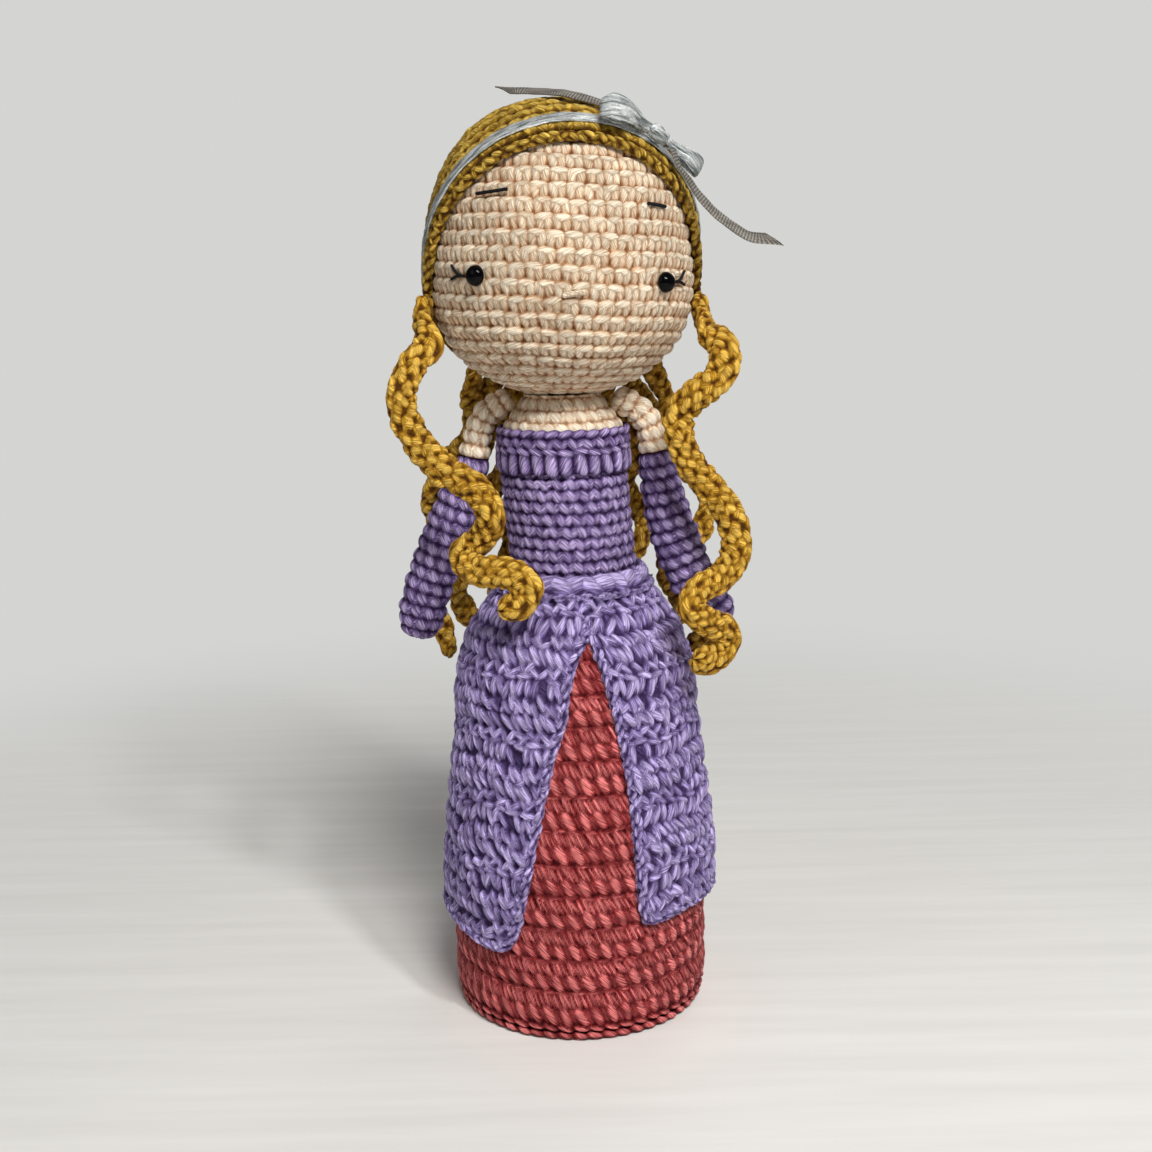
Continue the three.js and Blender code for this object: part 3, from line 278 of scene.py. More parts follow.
BEAD = grained("eye_bead", (0.0008, 0.0008, 0.001), (0.002, 0.002, 0.0025), (0.06, 0.09), (0.03, 0.0001),
               (900.0, 2.0), Specular_IOR_Level=0.12)
# each ribbon's dark and light colours are painted shade and painted sheen on its creases
SATIN = satin("satin_ribbon", (0.16, 0.18, 0.185), (0.79, 0.83, 0.83), 0.35, 0.2, False)
GROSGRAIN = satin("ribbon_back", (0.19, 0.17, 0.145), (0.36, 0.335, 0.295), 0.0, 0.5, True)
WASHER = grained("washer_plastic", (0.78, 0.78, 0.76), (0.86, 0.86, 0.84), (0.4, 0.55), (0.1, 0.0003),
                 (400, 4, 0.6, 0.4))
CARD = grained("card", (0.36, 0.25, 0.14), (0.5, 0.38, 0.24), (0.8, 0.95), (0.3, 0.0003), (300, 4, 0.6, 0.4),
               (1, 1, 0.2))
WOOD = grained("stick_wood", (0.42, 0.26, 0.13), (0.66, 0.48, 0.3), (0.55, 0.7), (0.3, 0.0003),
               (220, 4, 0.6, 0.4), (1, 1, 0.08))

# ---------------------------------------------------------------- meshes


def unit(v):
    return v / np.maximum(np.linalg.norm(v, axis=-1, keepdims=True), 1e-9)


def smoothstep(x, a, b):
    t = np.clip((x - a) / (b - a), 0, 1)
    return t * t * (3 - 2 * t)


def grid_faces(rows, columns, wrap, start=0, flip=False):
    i = np.arange(rows - 1)[:, None]
    j = np.arange(columns if wrap else columns - 1)[None, :]
    k = (j + 1) % columns
    a, b, c, d = i * columns + j, i * columns + k, (i + 1) * columns + k, (i + 1) * columns + j
    quads = np.stack(np.broadcast_arrays(*((a, d, c, b) if flip else (a, b, c, d))), -1).reshape(-1, 4)
    return quads + start


def joined(p, q, inner):
    """Quads from an edge's points p and q to those that come `inner` places after them."""
    return np.stack([p, q, q + inner, p + inner], -1)


def make(name, points, quads, triangles, own, depth, materials, node, body="doll_body"):
    """A mesh object from points in mm, with the yarn's coordinates on its vertices, that stands for a node."""
    data = bpy.data.meshes.new(name)
    quads, triangles = np.asarray(quads).reshape(-1, 4), np.asarray(triangles, int).reshape(-1, 3)
    data.vertices.add(len(points))
    data.vertices.foreach_set("co", (np.asarray(points) / 1000).astype(np.float32).ravel())
    corners = np.concatenate([quads.ravel(), triangles.ravel()])
    starts = np.concatenate([np.arange(len(quads)) * 4, len(quads) * 4 + np.arange(len(triangles)) * 3])
    data.loops.add(len(corners))
    data.loops.foreach_set("vertex_index", corners.astype(np.int32))
    data.polygons.add(len(starts))
    data.polygons.foreach_set("loop_start", starts.astype(np.int32))
    data.polygons.foreach_set("use_smooth", np.ones(len(starts), bool))
    data.update(calc_edges=True)
    data.validate()
    # depth, how far the yarn stands out, is what the yarn's colour uses for its painted shade in the crevices
    # and its painted light on the tops
    for word, form, key, value in (("yarn", "FLOAT_VECTOR", "vector", own), ("depth", "FLOAT", "value", depth)):
        data.attributes.new(word, form, "POINT").data.foreach_set(key, value.astype(np.float32).ravel())
    for material in materials:
        data.materials.append(material)
    obj = linked(name, data)
    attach(obj, body)
    if node:
        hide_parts(node)
    return obj


def solid_tube(name, grid, own, material, node):
    """A closed piece from a grid of points whose columns go round, with a point in the middle of each end."""
    rows, columns = grid.shape[:2]
    points = np.concatenate([grid.reshape(-1, 3), grid[:1].mean(1), grid[-1:].mean(1)])
    own = np.concatenate([own.reshape(-1, 3), own[0, :1], own[-1, :1]])
    i = np.arange(columns)
    k, top, pole = (i + 1) % columns, (rows - 1) * columns, np.full(columns, rows * columns)
    triangles = np.concatenate([np.stack([k, i, pole], -1), np.stack([top + i, top + k, pole + 1], -1)])
    return make(name, points, grid_faces(rows, columns, True), triangles, own, np.ones(len(points)), [material],
                node)


def rows_of(edges, counts, kinds, least=1):
    """Rows of stitches: their lower edges in mm with the last one's upper edge, how many stitches round or
    across each has, and the kind of each, repeated as needed."""
    counts = np.maximum(least, np.round(np.asarray(counts, float))).astype(int)
    return np.asarray(edges, float), counts, [kinds[i % len(kinds)] for i in range(len(edges) - 1)]


def round_rows(edges, kinds, run, radius, width, least=1):
    """Rows round a form whose radius is known at each length of run, of stitches of a width."""
    middle = np.interp((edges[:-1] + edges[1:]) / 2, run, radius)
    return rows_of(edges, 2 * np.pi * middle / width, kinds, least)


# how far chance moves a grain across and up (shares of its cell), turns it and its strands (degrees), and
# swells it (a share of its height); the power that shapes a grain's ends
STRAY_ACROSS, STRAY_UP, STRAY_TURN, STRAY_LAY, STRAY_TALL, GRAIN_POWER = 0.05, 0.035, 7, 8, 0.09, 2.6


def knit(turn, along, rows, seed):
    """Height, as a share of the highest grain's, and the yarn's coordinates of the crocheted surface at each
    point. turn is the share of the way round, and along the length in mm across the rows."""
    dice = np.random.default_rng(seed)
    edges, counts, kinds = rows
    number, most = len(kinds), max(len(k["grains"]) for k in kinds)
    table = np.zeros((number, most, 7))
    for i, k in enumerate(kinds):
        table[i, : len(k["grains"])] = k["grains"]
    cell, loose, holes = (np.array([k[key] for k in kinds], float) for key in ("cell", "loose", "holes"))
    odds = dice.normal(0, 1, (number, counts.max() + 1, most, 4)).clip(-2, 2)
    tones = dice.uniform(0, 1, (number, counts.max() + 1, most))
    phase = dice.uniform(0, 1, number)
    missing = dice.uniform(0, 1, tones.shape) < holes[:, None, None]
    at = np.clip(np.searchsorted(edges, along, "right") - 1, 0, number - 1)
    best = np.full(turn.shape, -1.0)
    own = np.zeros(turn.shape + (3,))
    for step in (-1, 0, 1):
        row = at + step
        inside = (row >= 0) & (row < number)
        row = np.clip(row, 0, number - 1)
        up = (along - edges[row]) / (edges[row + 1] - edges[row])
        x = turn * counts[row] + phase[row]
        for aside in (-1, 0, 1):
            column = np.floor(x) + aside
            which = np.mod(column, counts[row]).astype(int)
            for g in range(most):
                cx, cy, angle, half, thick, tall, lay = np.moveaxis(table[row, g], -1, 0)
                o = odds[row, which, g] * loose[row][..., None]
                dx = (x - column - cx - STRAY_ACROSS * o[..., 0]) * cell[row, 0]
                dy = (up - cy - STRAY_UP * o[..., 1]) * cell[row, 1]
                turned = np.radians(angle + STRAY_TURN * o[..., 2])
                c, s = np.cos(turned), np.sin(turned)
                p = np.abs(dx * c + dy * s) / np.maximum(half, 0.01)
                q = (dy * c - dx * s) / np.maximum(thick, 0.01)
                rise = np.sqrt(np.clip(1 - p**GRAIN_POWER - q * q, 0, None)) * tall
                rise = rise * (1 + STRAY_TALL * o[..., 3])
                rise = np.where(inside & (tall > 0) & ~missing[row, which, g], rise, -1)
                better = rise > best
                best = np.where(better, rise, best)
                strand = np.radians(lay + STRAY_LAY * o[..., 2])
                across = dy * np.cos(strand) - dx * np.sin(strand) + 0.25 * np.abs(q)
                down = dx * np.cos(strand) + dy * np.sin(strand)
                own = np.where(better[..., None], np.stack([across, down, tones[row, which, g]], -1), own)
    # the height, never below a fifth, also sets the yarn's painted shade, which is darkest in the deepest
    # crevices
    return np.clip(best / table[..., 5].max(), 0.2, None), own


def normals(points, wrap):
    du = np.roll(points, -1, 1) - np.roll(points, 1, 1) if wrap else np.gradient(points, axis=1)
    return unit(np.cross(du, np.gradient(points, axis=0)))


def bulging(points, along, edges, deep, wrap=True, peak=1.0):
    """The rows stand out between their lines, most at their middle or, with a higher peak, above it."""
    row = np.interp(along, edges, np.arange(len(edges)))
    bulge = np.sin(np.pi * (row % 1) ** peak)
    return points + normals(points, wrap) * (deep * (bulge - 1))[..., None]


def crochet(name, points, turn, along, rows, seed, thickness, material, node, relief, proud, fill=None,
            lumps=0, wrap=True, pole=False, inner_rows=8, closed=None, body="doll_body"):
    """A closed piece of crochet over a grid of points, whose rows go up and whose columns go round. Its yarn
    stands `proud` of the grid at most, and its inside is a smoother copy `thickness` below it. A pole closes
    the grid's last row to a point; with no thickness the piece is solid, and both ends are closed. From the
    row `closed` on, the two sides of a grid that doesn't wrap are one."""
    share, own = knit(turn, along, rows, seed)
    out = normals(points, wrap)
    wave = lumps * np.sin(2 * np.pi * (3 * turn + seed * 0.37) + along * 0.11) * np.cos(along * 0.23 + seed)
    shown = points + out * ((share - 1) * relief + proud + wave)[..., None]
    rows_up, columns = turn.shape
    if closed is not None:
        shown[closed:, -1] = shown[closed:, 0]
    parts = [(shown.reshape(-1, 3), own.reshape(-1, 3), share.ravel())]
    quads, triangles = [grid_faces(rows_up, columns, wrap)], [np.zeros((0, 3), int)]
    total = start = rows_up * columns
    ring = np.arange(columns if wrap else columns - 1)
    following = (ring + 1) % columns
    last_out = total - columns

    def cap(first, row, flip):
        """Closes the ring that begins at the point `first`, whose points are row, with one in its middle."""
        nonlocal total
        parts.append((row.mean(0)[None], np.zeros((1, 3)), [0.5]))
        a, b = (following, ring) if flip else (ring, following)
        triangles.append(np.stack([first + a, first + b, np.full(len(ring), total)], -1))
        total += 1

    if thickness:
        picked = np.arange(rows_up)
        if wrap:
            picked = np.unique(np.linspace(0, rows_up - 1, inner_rows).astype(int))
        inner = (points - out * thickness)[picked]
        parts.append((inner.reshape(-1, 3), own[picked].reshape(-1, 3), np.full(len(picked) * columns, 0.45)))
        quads.append(grid_faces(len(picked), columns, wrap, start, True))
        total += len(picked) * columns
        last_in = total - columns
        quads.append(joined(following, ring, start))
        if not pole:
            quads.append(joined(last_out + ring, last_out + following, last_in - last_out))
        if not wrap:
            up = np.arange(closed or rows_up - 1) * columns
            quads += [joined(up, up + columns, start), joined(up + 2 * columns - 1, up + columns - 1, start)]
        if closed is not None:
            same = np.arange(total)
            for first in (0, start):
                row = first + np.arange(closed, rows_up) * columns
                same[row + columns - 1] = row
            quads = [same[q] for q in quads]
    else:
        cap(0, shown[0], True)
    if pole or not thickness:
        cap(last_out, shown[-1], False)
    if pole:
        cap(last_in, inner[-1], True)
    points, own, depth = (np.concatenate(a) for a in zip(*parts))
    return make(name, points, np.concatenate(quads), np.concatenate(triangles), own, depth, [material], node,
                body)


# ---------------------------------------------------------------- curves and forms


def run_along(line):
    """The length run at each point of a line, or down each column of a grid."""
    steps = np.linalg.norm(np.diff(line, axis=0), axis=-1)
    return np.concatenate([0 * steps[:1], np.cumsum(steps, axis=0)])


def between(at, run, values):
    return np.stack([np.interp(at, run, values[:, k]) for k in range(values.shape[1])], -1)


def resample(line, count):
    """A line's points at even steps, and its length."""
    run = run_along(line)
    return between(np.linspace(0, run[-1], count), run, line), run[-1]


def spline(points, count):
    """A smooth curve through the points, as points at even steps of length, and its length."""
    p = np.asarray(points, float)
    ext = np.concatenate([2 * p[:1] - p[1:2], p, 2 * p[-1:] - p[-2:-1]])
    t = np.linspace(0, 1, 24, endpoint=False)[:, None]
    fine = []
    for x0, x1, x2, x3 in zip(ext, ext[1:], ext[2:], ext[3:]):
        d0, d1, d2 = (max(np.linalg.norm(b - a), 1e-6) ** 0.5 for a, b in ((x0, x1), (x1, x2), (x2, x3)))
        m1 = ((x1 - x0) / d0 - (x2 - x0) / (d0 + d1) + (x2 - x1) / d1) * d1
        m2 = ((x2 - x1) / d1 - (x3 - x1) / (d1 + d2) + (x3 - x2) / d2) * d1
        first, last = 2 * t**3 - 3 * t**2 + 1, 3 * t**2 - 2 * t**3
        fine.append(first * x1 + (t**3 - 2 * t**2 + t) * m1 + last * x2 + (t**3 - t**2) * m2)
    return resample(np.concatenate(fine + [ext[-2:-1]]), count)


def curved(profile, count=200):
    return spline(profile, count)[0]


def round_axis(radius, angle, z):
    """Points at an angle about Z, from the front towards +X."""
    return np.stack([radius * np.sin(angle), -radius * np.cos(angle), z + 0 * angle], -1)


def turned_grid(profile, step_along, step_round):
    """Grid over a form turned about Z from its profile of (radius, height), with turn and along."""
    profile = np.asarray(profile, float)
    line, length = resample(profile, int(run_along(profile)[-1] / step_along) + 2)
    columns = int(2 * np.pi * line[:, 0].max() / step_round)
    turn = (np.arange(columns) / columns - 0.5)[None, :] * np.ones((len(line), 1))
    along = np.linspace(0, length, len(line))[:, None] * np.ones((1, columns))
    return round_axis(line[:, :1], 2 * np.pi * turn, line[:, 1:]), turn, along


def tube_grid(line, half_width, half_depth, facing, step_round, tips):
    """Grid round a tube along a line of points, with turn and along. facing gives the way its flat side looks
    at each point, and tips the lengths over which its ends round off."""
    count = len(line)
    along = run_along(line)
    tangent = unit(np.gradient(line, axis=0))
    look = unit(facing - (facing * tangent).sum(-1, keepdims=True) * tangent)
    half_width = np.broadcast_to(half_width, (count,)).astype(float)
    half_depth = np.broadcast_to(half_depth, (count,)).astype(float)
    fine = np.linspace(0, 2 * np.pi, 721)
    run = run_along(np.stack([half_width.max() * np.cos(fine), half_depth.max() * np.sin(fine)], -1))
    columns = max(12, int(run[-1] / step_round))
    turn = np.arange(columns) / columns
    angle = np.interp(turn * run[-1], run, fine)
    small = np.ones(count)
    for end, tip in enumerate(tips):
        if tip:
            t = np.clip((along[-1] - along if end else along) / tip, 0, 1)
            small = small * np.sqrt(np.clip(1 - (1 - t) ** 2, 0.0025, 1))
    wide = np.cross(look, tangent)[:, None] * (half_width * small)[:, None, None] * np.cos(angle)[None, :, None]
    deep = look[:, None] * (half_depth * small)[:, None, None] * np.sin(angle)[None, :, None]
    return line[:, None] + wide + deep, np.tile(turn, (count, 1)), along[:, None] * np.ones((1, columns))


def tube(name, line, half_width, half_depth, facing, stitch, pitch, around, step, tips, seed, material, node,
         relief, proud, length=None, **more):
    """A solid crocheted tube along a line: rows of a pitch, with `around` stitches each."""
    points, turn, along = tube_grid(line, half_width, half_depth, facing, step, tips)
    length = length or along.max()
    number = max(1, int(round(length / pitch)))
    rows = rows_of(np.linspace(0, length, number + 1), np.full(number, around), [stitch])
    return crochet(name, points, turn, along, rows, seed, 0, material, node, relief, proud, **more)


def kind(width, height, loose, *grains, holes=0):
    """A stitch: its cell's width and height in mm, how irregular it is, and its grains of yarn. A grain has
    its middle (shares of the cell), its slope in degrees, half its length, half its width and its height in
    mm, and the slope of the strands in it."""
    return {"cell": (width, height), "loose": loose, "grains": grains, "holes": holes}


FACE = kind(
    5.3, 4.75, 0.7, (0.25, 0.42, 97, 2.7, 1.65, 1.32, 64), (0.75, 0.42, 85, 2.65, 1.65, 1.27, 110),
    (0.5, 0.73, 5, 3.3, 1.5, 1.44, 20),
)
SLANT = kind(4.55, 3.95, 1.0, (0.34, 0.5, -42, 2.5, 1.95, 1.5, -50), (0.86, 0.52, 56, 2.2, 1.5, 1.35, 36))
DOUBLE = kind(
    5.05, 10.4, 0.55, (0.6, 0.33, -62, 4.3, 2.05, 1.5, -36), (0.14, 0.3, -62, 3.4, 1.2, 1.1, -56),
    (0.1, 0.74, -62, 3.5, 0.95, 1.35, -62), (0.42, 0.79, -61, 3.5, 1.0, 1.45, -61),
    (0.76, 0.75, -60, 3.4, 0.95, 1.4, -60), (0.5, 0.975, -4, 3.2, 0.75, 1.25, -16),
)
DOUBLE_BACK = kind(
    5.05, 10.4, 1.5, (0.25, 0.3, 74, 3.6, 1.5, 1.5, 70), (0.75, 0.3, 100, 3.5, 1.45, 1.4, 96),
    (0.5, 0.62, -6, 3.2, 1.3, 1.35, -20), (0.22, 0.85, -42, 3.0, 1.3, 1.4, -40),
    (0.72, 0.86, 42, 2.8, 1.25, 1.4, 42), holes=0.04,
)
DOUBLE_FRONT = kind(
    5.05, 10.4, 1.5, (0.3, 0.29, -58, 3.8, 1.55, 1.5, -48), (0.8, 0.31, -66, 3.7, 1.5, 1.4, -58),
    (0.14, 0.75, -54, 3.3, 1.3, 1.4, -50), (0.56, 0.79, -60, 3.3, 1.3, 1.45, -56),
    (0.92, 0.7, 52, 2.6, 1.2, 1.3, 52), holes=0.04,
)
POST = kind(4.77, 8.6, 0.8, (0.5, 0.46, 98, 4.5, 2.3, 1.6, 66), (0.4, 0.93, -14, 3.0, 1.35, 1.5, -30))
LIP = kind(4.77, 3.4, 0.8, (0.35, 0.5, -30, 2.4, 1.55, 1.5, -44), (0.85, 0.5, 50, 1.9, 1.2, 1.3, 34))
CHAIN = kind(4.6, 2.7, 0.5, (0.5, 0.5, 14, 2.9, 1.35, 1.5, 30))
BRAID = kind(
    4.4, 4.6, 1.3, (0.25, 0.25, 52, 2.35, 1.25, 1.5, 46), (0.8, 0.66, 68, 2.1, 1.2, 1.4, 66),
    (0.3, 0.85, -34, 1.7, 1.05, 1.25, -40),
)
KNOBS = kind(
    7.2, 3.7, 1.1, (0.2, 0.28, -34, 2.25, 1.85, 1.5, -30), (0.46, 0.3, 56, 2.1, 1.4, 1.2, 58),
    (0.7, 0.76, -34, 2.25, 1.85, 1.5, -30), (0.96, 0.8, 56, 2.1, 1.4, 1.2, 58),
)
BOBBLES = kind(4.5, 4.2, 0.9, (0.4, 0.5, -24, 2.45, 2.1, 1.5, -54), (0.9, 0.5, 68, 2.4, 1.35, 1.1, 24))
CUFF = kind(9.5, 7.0, 0.7, (0.3, 0.52, 6, 6.2, 3.5, 1.5, 12), (0.8, 0.46, -8, 5.8, 3.2, 1.42, -2))
STRANDS = kind(1.4, 3.0, 0.3, (0.25, 0.5, 80, 2.6, 0.5, 1.0, 82), (0.75, 0.5, 80, 2.6, 0.5, 1.0, 82))
ROPE = kind(5.0, 3.2, 0.7, (0.5, 0.5, -24, 3.1, 1.5, 1.5, -40))
TWIST = kind(1.2, 1.0, 0.4, (0.5, 0.5, 38, 0.8, 0.45, 1.0, 38))

FABRIC, GAP = 2.6, 0.35

# ---------------------------------------------------------------- base and underskirt

SKIRT_RADIUS, WAIST, CARD_BOTTOM = 42.2, 143.0, 3.35
BODICE_RADIUS, TUCKED_RADIUS, NECK_RADIUS = 20.3, 18.9, 12.4
SKIRT_SHARES = [
    (0.982, 0), (1, 0.035), (1, 0.264), (0.99, 0.37), (0.924, 0.535), (0.875, 0.65), (0.836, 0.792),
    (0.718, 0.9), (0.58, 0.957), (0.468, 1),
]
SKIRT_PROFILE = np.array([(r * SKIRT_RADIUS, CARD_BOTTOM + z * (WAIST - CARD_BOTTOM)) for r, z in SKIRT_SHARES])


def leaning(points):
    """Between the overskirt and the band the body leans to the left, and so do its parts above."""
    away = 2.5 * np.clip((points[..., 2] - 147.85) / (177.8 - 147.85), 0, 1)
    return points - away[..., None] * np.array([1.0, 0, 0])


def base_round():
    """The crocheted round under the doll: flat below, with a thick rolled edge that shows."""
    radius = 41.4
    rim = [(-1.4, 0.2), (-0.4, 0.7), (0, 1.7), (-0.2, 2.7), (-1.2, 3.3), (-3, 3.3)]
    grid = turned_grid([(0.4, 0.2)] + [(radius + r, z) for r, z in rim], 0.6, 0.6)
    edges = np.concatenate([np.arange(0, 39, 4.35), [40.2, 44.2, 47]])
    counts = [max(6, 2 * np.pi * min(e + 2.2, radius) / 4.8) for e in edges[:-1]]
    rows = rows_of(edges, counts, [SLANT] * (len(edges) - 3) + [ROPE, SLANT])
    crochet("base_round", *grid, rows, 11, 0, ROSE, "base_panel", relief=0.9, proud=0.05)


def underskirt():
    profile = curved(SKIRT_PROFILE)
    points, turn, along = turned_grid(profile, 0.62, 0.52)
    heights = [3.3, 5.6, 17.2, 27.4, 38, 48.6, 59.1, 69.8, 80.5, 91.3, 101.8, 112, 122.3, 132.6, 143.2]
    line, _ = resample(profile, 400)
    run = run_along(line)
    edges = np.interp(heights, line[:, 1], run)
    edges[-1] = run[-1] + 0.01
    rows = round_rows(edges, [ROPE] + [DOUBLE] * (len(edges) - 2), run, line[:, 0], 5.05)
    points = bulging(points, along, edges, 0.8 * smoothstep(along, 1, 8))
    crochet("underskirt_crochet", points, turn, along, rows, 12, FABRIC - 0.2, ROSE, "underskirt", relief=1.6,
            proud=0.3, fill=0.75, lumps=0.15)


base_round()
underskirt()

# ---------------------------------------------------------------- bodice, band, chest


def bodice():
    top = [(19.6, 177.6), (TUCKED_RADIUS, 178.2), (TUCKED_RADIUS, 186)]
    points, turn, along = turned_grid([(BODICE_RADIUS, 143.35), (BODICE_RADIUS, 176.3)] + top, 0.42, 0.45)
    edges = np.concatenate([np.linspace(0, 34.1, 10), np.arange(38, 48, 3.9)])
    rows = rows_of(edges, np.full(len(edges) - 1, 28), [SLANT])
    crochet("bodice_crochet", leaning(points), turn, along, rows, 21, FABRIC - 0.5, LILAC, "bodice",
            relief=1.5, proud=0.25, fill=0.9, lumps=0.12)


def band():
    radius = 21.35
    shape = [(-0.9, 177.8), (-0.1, 178.6), (0, 181), (0, 184), (-0.1, 190.5), (-0.6, 192.0), (-1.0, 192.5)]
    points, turn, along = turned_grid(curved([(radius + r, z) for r, z in shape]), 0.36, 0.42)
    rows = rows_of([0, 8.7, 12.3, 15.6], [28, 28, 30], [POST, LIP, CHAIN])
    crochet("band_crochet", leaning(points), turn, along, rows, 22, 1.0, LILAC, "bodice_band", relief=1.7,
            proud=0.45, fill=0.4, lumps=0.1)


def chest():
    foot, height, pitch = 186.35, 16.1, 4.3
    shares = [(1, 0), (1, 0.36), (0.66, 0.6), (0.2, 0.83), (0, 1)]
    profile = [(NECK_RADIUS + r * (TUCKED_RADIUS - NECK_RADIUS), foot + z * height) for r, z in shares]
    points, turn, along = turned_grid(curved(profile), 0.45, 0.45)
    edges = np.arange(0, along.max() + pitch, pitch)
    rows = rows_of(edges, [26, 26, 24, 21, 18][: len(edges) - 1], [BOBBLES])
    crochet("chest_crochet", leaning(points), turn, along, rows, 23, FABRIC - 0.4, LIMBS_PAINTED_LIGHT, "chest", relief=1.3,
            proud=0.2, fill=0.9, lumps=0.1)


bodice()
band()
chest()

# ---------------------------------------------------------------- overskirt

HEM, HEM_SWAY, SLIT_TOP, SLIT_WIDTH = 32.5, 4.8, 131.0, 42.0
OVER_TOP, OVER_THICK, OVER_RADIUS = 147.5, 3.3, 20.65
HEM_SHARES = np.array([
    (-1.4, 0.1), (-1.05, 0), (-0.8, -0.5), (-0.52, -0.9), (-0.25, -0.4), (0, 0.4), (0.48, 1.1), (0.8, 1.3),
    (1.4, 1.4),
])
SLIT_LEFT = [
    (0.1, 0), (0.03, 0.06), (-0.04, 0.16), (-0.08, 0.27), (-0.19, 0.4), (-0.26, 0.53), (-0.34, 0.68),
    (-0.4, 0.82), (-0.49, 0.97), (-0.62, 1.06),
]
SLIT_RIGHT = [
    (0.1, 0), (0.18, 0.08), (0.24, 0.16), (0.3, 0.27), (0.36, 0.38), (0.4, 0.5), (0.43, 0.61), (0.45, 0.72),
    (0.47, 0.87), (0.5, 0.94), (0.6, 1.0),
]
OVER_PROFILE = [(r + 0.49 + OVER_THICK, z) for r, z in SKIRT_PROFILE if r > OVER_RADIUS and z > 5] + [
    (OVER_RADIUS + 1.25 * OVER_THICK, WAIST + OVER_THICK / 2), (OVER_RADIUS + OVER_THICK / 2, OVER_TOP),
    (OVER_RADIUS + 0.1, OVER_TOP + 0.5),
]


def slit_x(shares, z):
    x, down = np.transpose(shares)
    return np.interp((SLIT_TOP - z) / (SLIT_TOP - HEM), down, x * SLIT_WIDTH)


def overskirt():
    columns, rows_up, inset, row_height = 440, 196, 1.5, 10.6
    line = curved(OVER_PROFILE, 500)
    run = run_along(line)
    radius_at = lambda z: np.interp(z, line[:, 1], line[:, 0])
    run_at = lambda z: np.interp(z, line[:, 1], run)
    share = np.linspace(0, 1, columns)[None, :]
    up = np.linspace(0, 1, rows_up)[:, None]
    # the hem's height and the slit's sides depend on where each column ends up, so both are found in turns
    phi = 2 * np.pi * share + 0 * up
    for _ in range(14):
        sway = np.interp(radius_at(HEM) * np.sin(phi) / SKIRT_RADIUS, *HEM_SHARES.T)
        hem_run = run_at(HEM + HEM_SWAY * sway + inset)
        z = np.interp(hem_run + up * (run[-1] - hem_run), run, line[:, 1])
        r = radius_at(z)
        left = np.arcsin(np.clip((slit_x(SLIT_LEFT, z) - inset * (z < SLIT_TOP)) / r, -1, 1))
        right = np.arcsin(np.clip((slit_x(SLIT_RIGHT, z) + inset * (z < SLIT_TOP)) / r, -1, 1))
        closing = smoothstep(z, SLIT_TOP - 2, SLIT_TOP + 0.5)
        middle = (left + right) / 2
        left, right = left + (middle - left) * closing, right + (middle - right) * closing
        phi = right + share * (2 * np.pi + left - right)
    points = round_axis(r, phi, z)
    edges = np.concatenate([np.arange(run[-1], 0, -row_height)[::-1], [run[-1] + 0.02]])
    edges[-2] = run[-1] - 8
    edges[0] = 0
    kinds = [DOUBLE_BACK if i % 2 else DOUBLE_FRONT for i in range(len(edges) - 2)] + [CUFF]
    rows = round_rows(edges, kinds, run, line[:, 0], np.array([k["cell"][0] for k in kinds]))
    # lumps, folds and uneven rows of a loosely worked skirt
    hang = smoothstep(OVER_TOP - z, 12, 60)
    lump = 0.55 * np.sin(3 * phi + 0.05 * z) + 0.5 * np.sin(7 * phi - 0.11 * z + 1) * np.cos(0.07 * z)
    along = run_at(z) + hang * (0.9 * np.sin(4 * phi + 1) + 0.7 * np.sin(9 * phi + 0.07 * z))
    out = normals(points, False)
    # the two fronts meet in a crease above the slit
    crease = np.exp(-((np.minimum(share, 1 - share) * 2 * np.pi * r / 1.5) ** 2)) * smoothstep(z, 144, 139)
    points = points + out * (lump * hang * 0.6 - 0.1 - 1.3 * crease)[..., None]
    points = bulging(points, along, edges, 0.9, False, 1.2)
    closed = np.flatnonzero(closing[:, 0] >= 1)[0]
    skirt = crochet("overskirt_crochet", points, phi / (2 * np.pi), along, rows, 31, 2.3, SKIRT, "overskirt",
                    relief=1.8, proud=0.35, wrap=False, closed=closed)
    # the edging: down the left edge, along the hem round the back, and up the right edge
    rim, rim_out = (
        np.concatenate([a[::-1, -1][rows_up // 8 :], a[0, ::-1][2:-2], a[:, 0][: -rows_up // 8]])
        for a in (points, out)
    )
    line, _ = resample(np.concatenate([rim - rim_out * 1.2, rim_out], 1), 900)
    # ease the corners where the slit meets the hem
    for _ in range(14):
        line[1:-1] = (line[:-2] + 2 * line[1:-1] + line[2:]) / 4
    edge = tube("overskirt_edge", line[:, :3], 1.7, 1.9, unit(line[:, 3:]), BRAID, 4.6, 3, 0.5, (2, 2), 32,
                SKIRT, None, relief=1.2, proud=0.3)


overskirt()

# ---------------------------------------------------------------- head

HEAD_Z, HEAD_RADIUS, ABOVE, BELOW, POWER_ABOVE, POWER_BELOW = 235.0, 40.6, 53.8, 33.0, 2.4, 2.2
HEAD_PLACE, NECK_OPENING = np.array([-1.6, 0, HEAD_Z]), 9.8
FACE_TURN = math.radians(5)
EYE_ANGLE, EYE_RISE = math.radians(42.6), {-1: 4.0, 1: 1.1}
SIDES = ((-1, "left"), (1, "right"))


def oval_half(z, grow):
    """Height and power of the half of the grown oval that each z is in."""
    return np.where(z < 0, BELOW, ABOVE) + grow, np.where(z < 0, POWER_BELOW, POWER_ABOVE)


def oval_radius(z, grow):
    z = np.asarray(z, float)
    height, power = oval_half(z, grow)
    return (HEAD_RADIUS + grow) * (1 - np.clip(np.abs(z) / height, 0, 1) ** power) ** (1 / power)


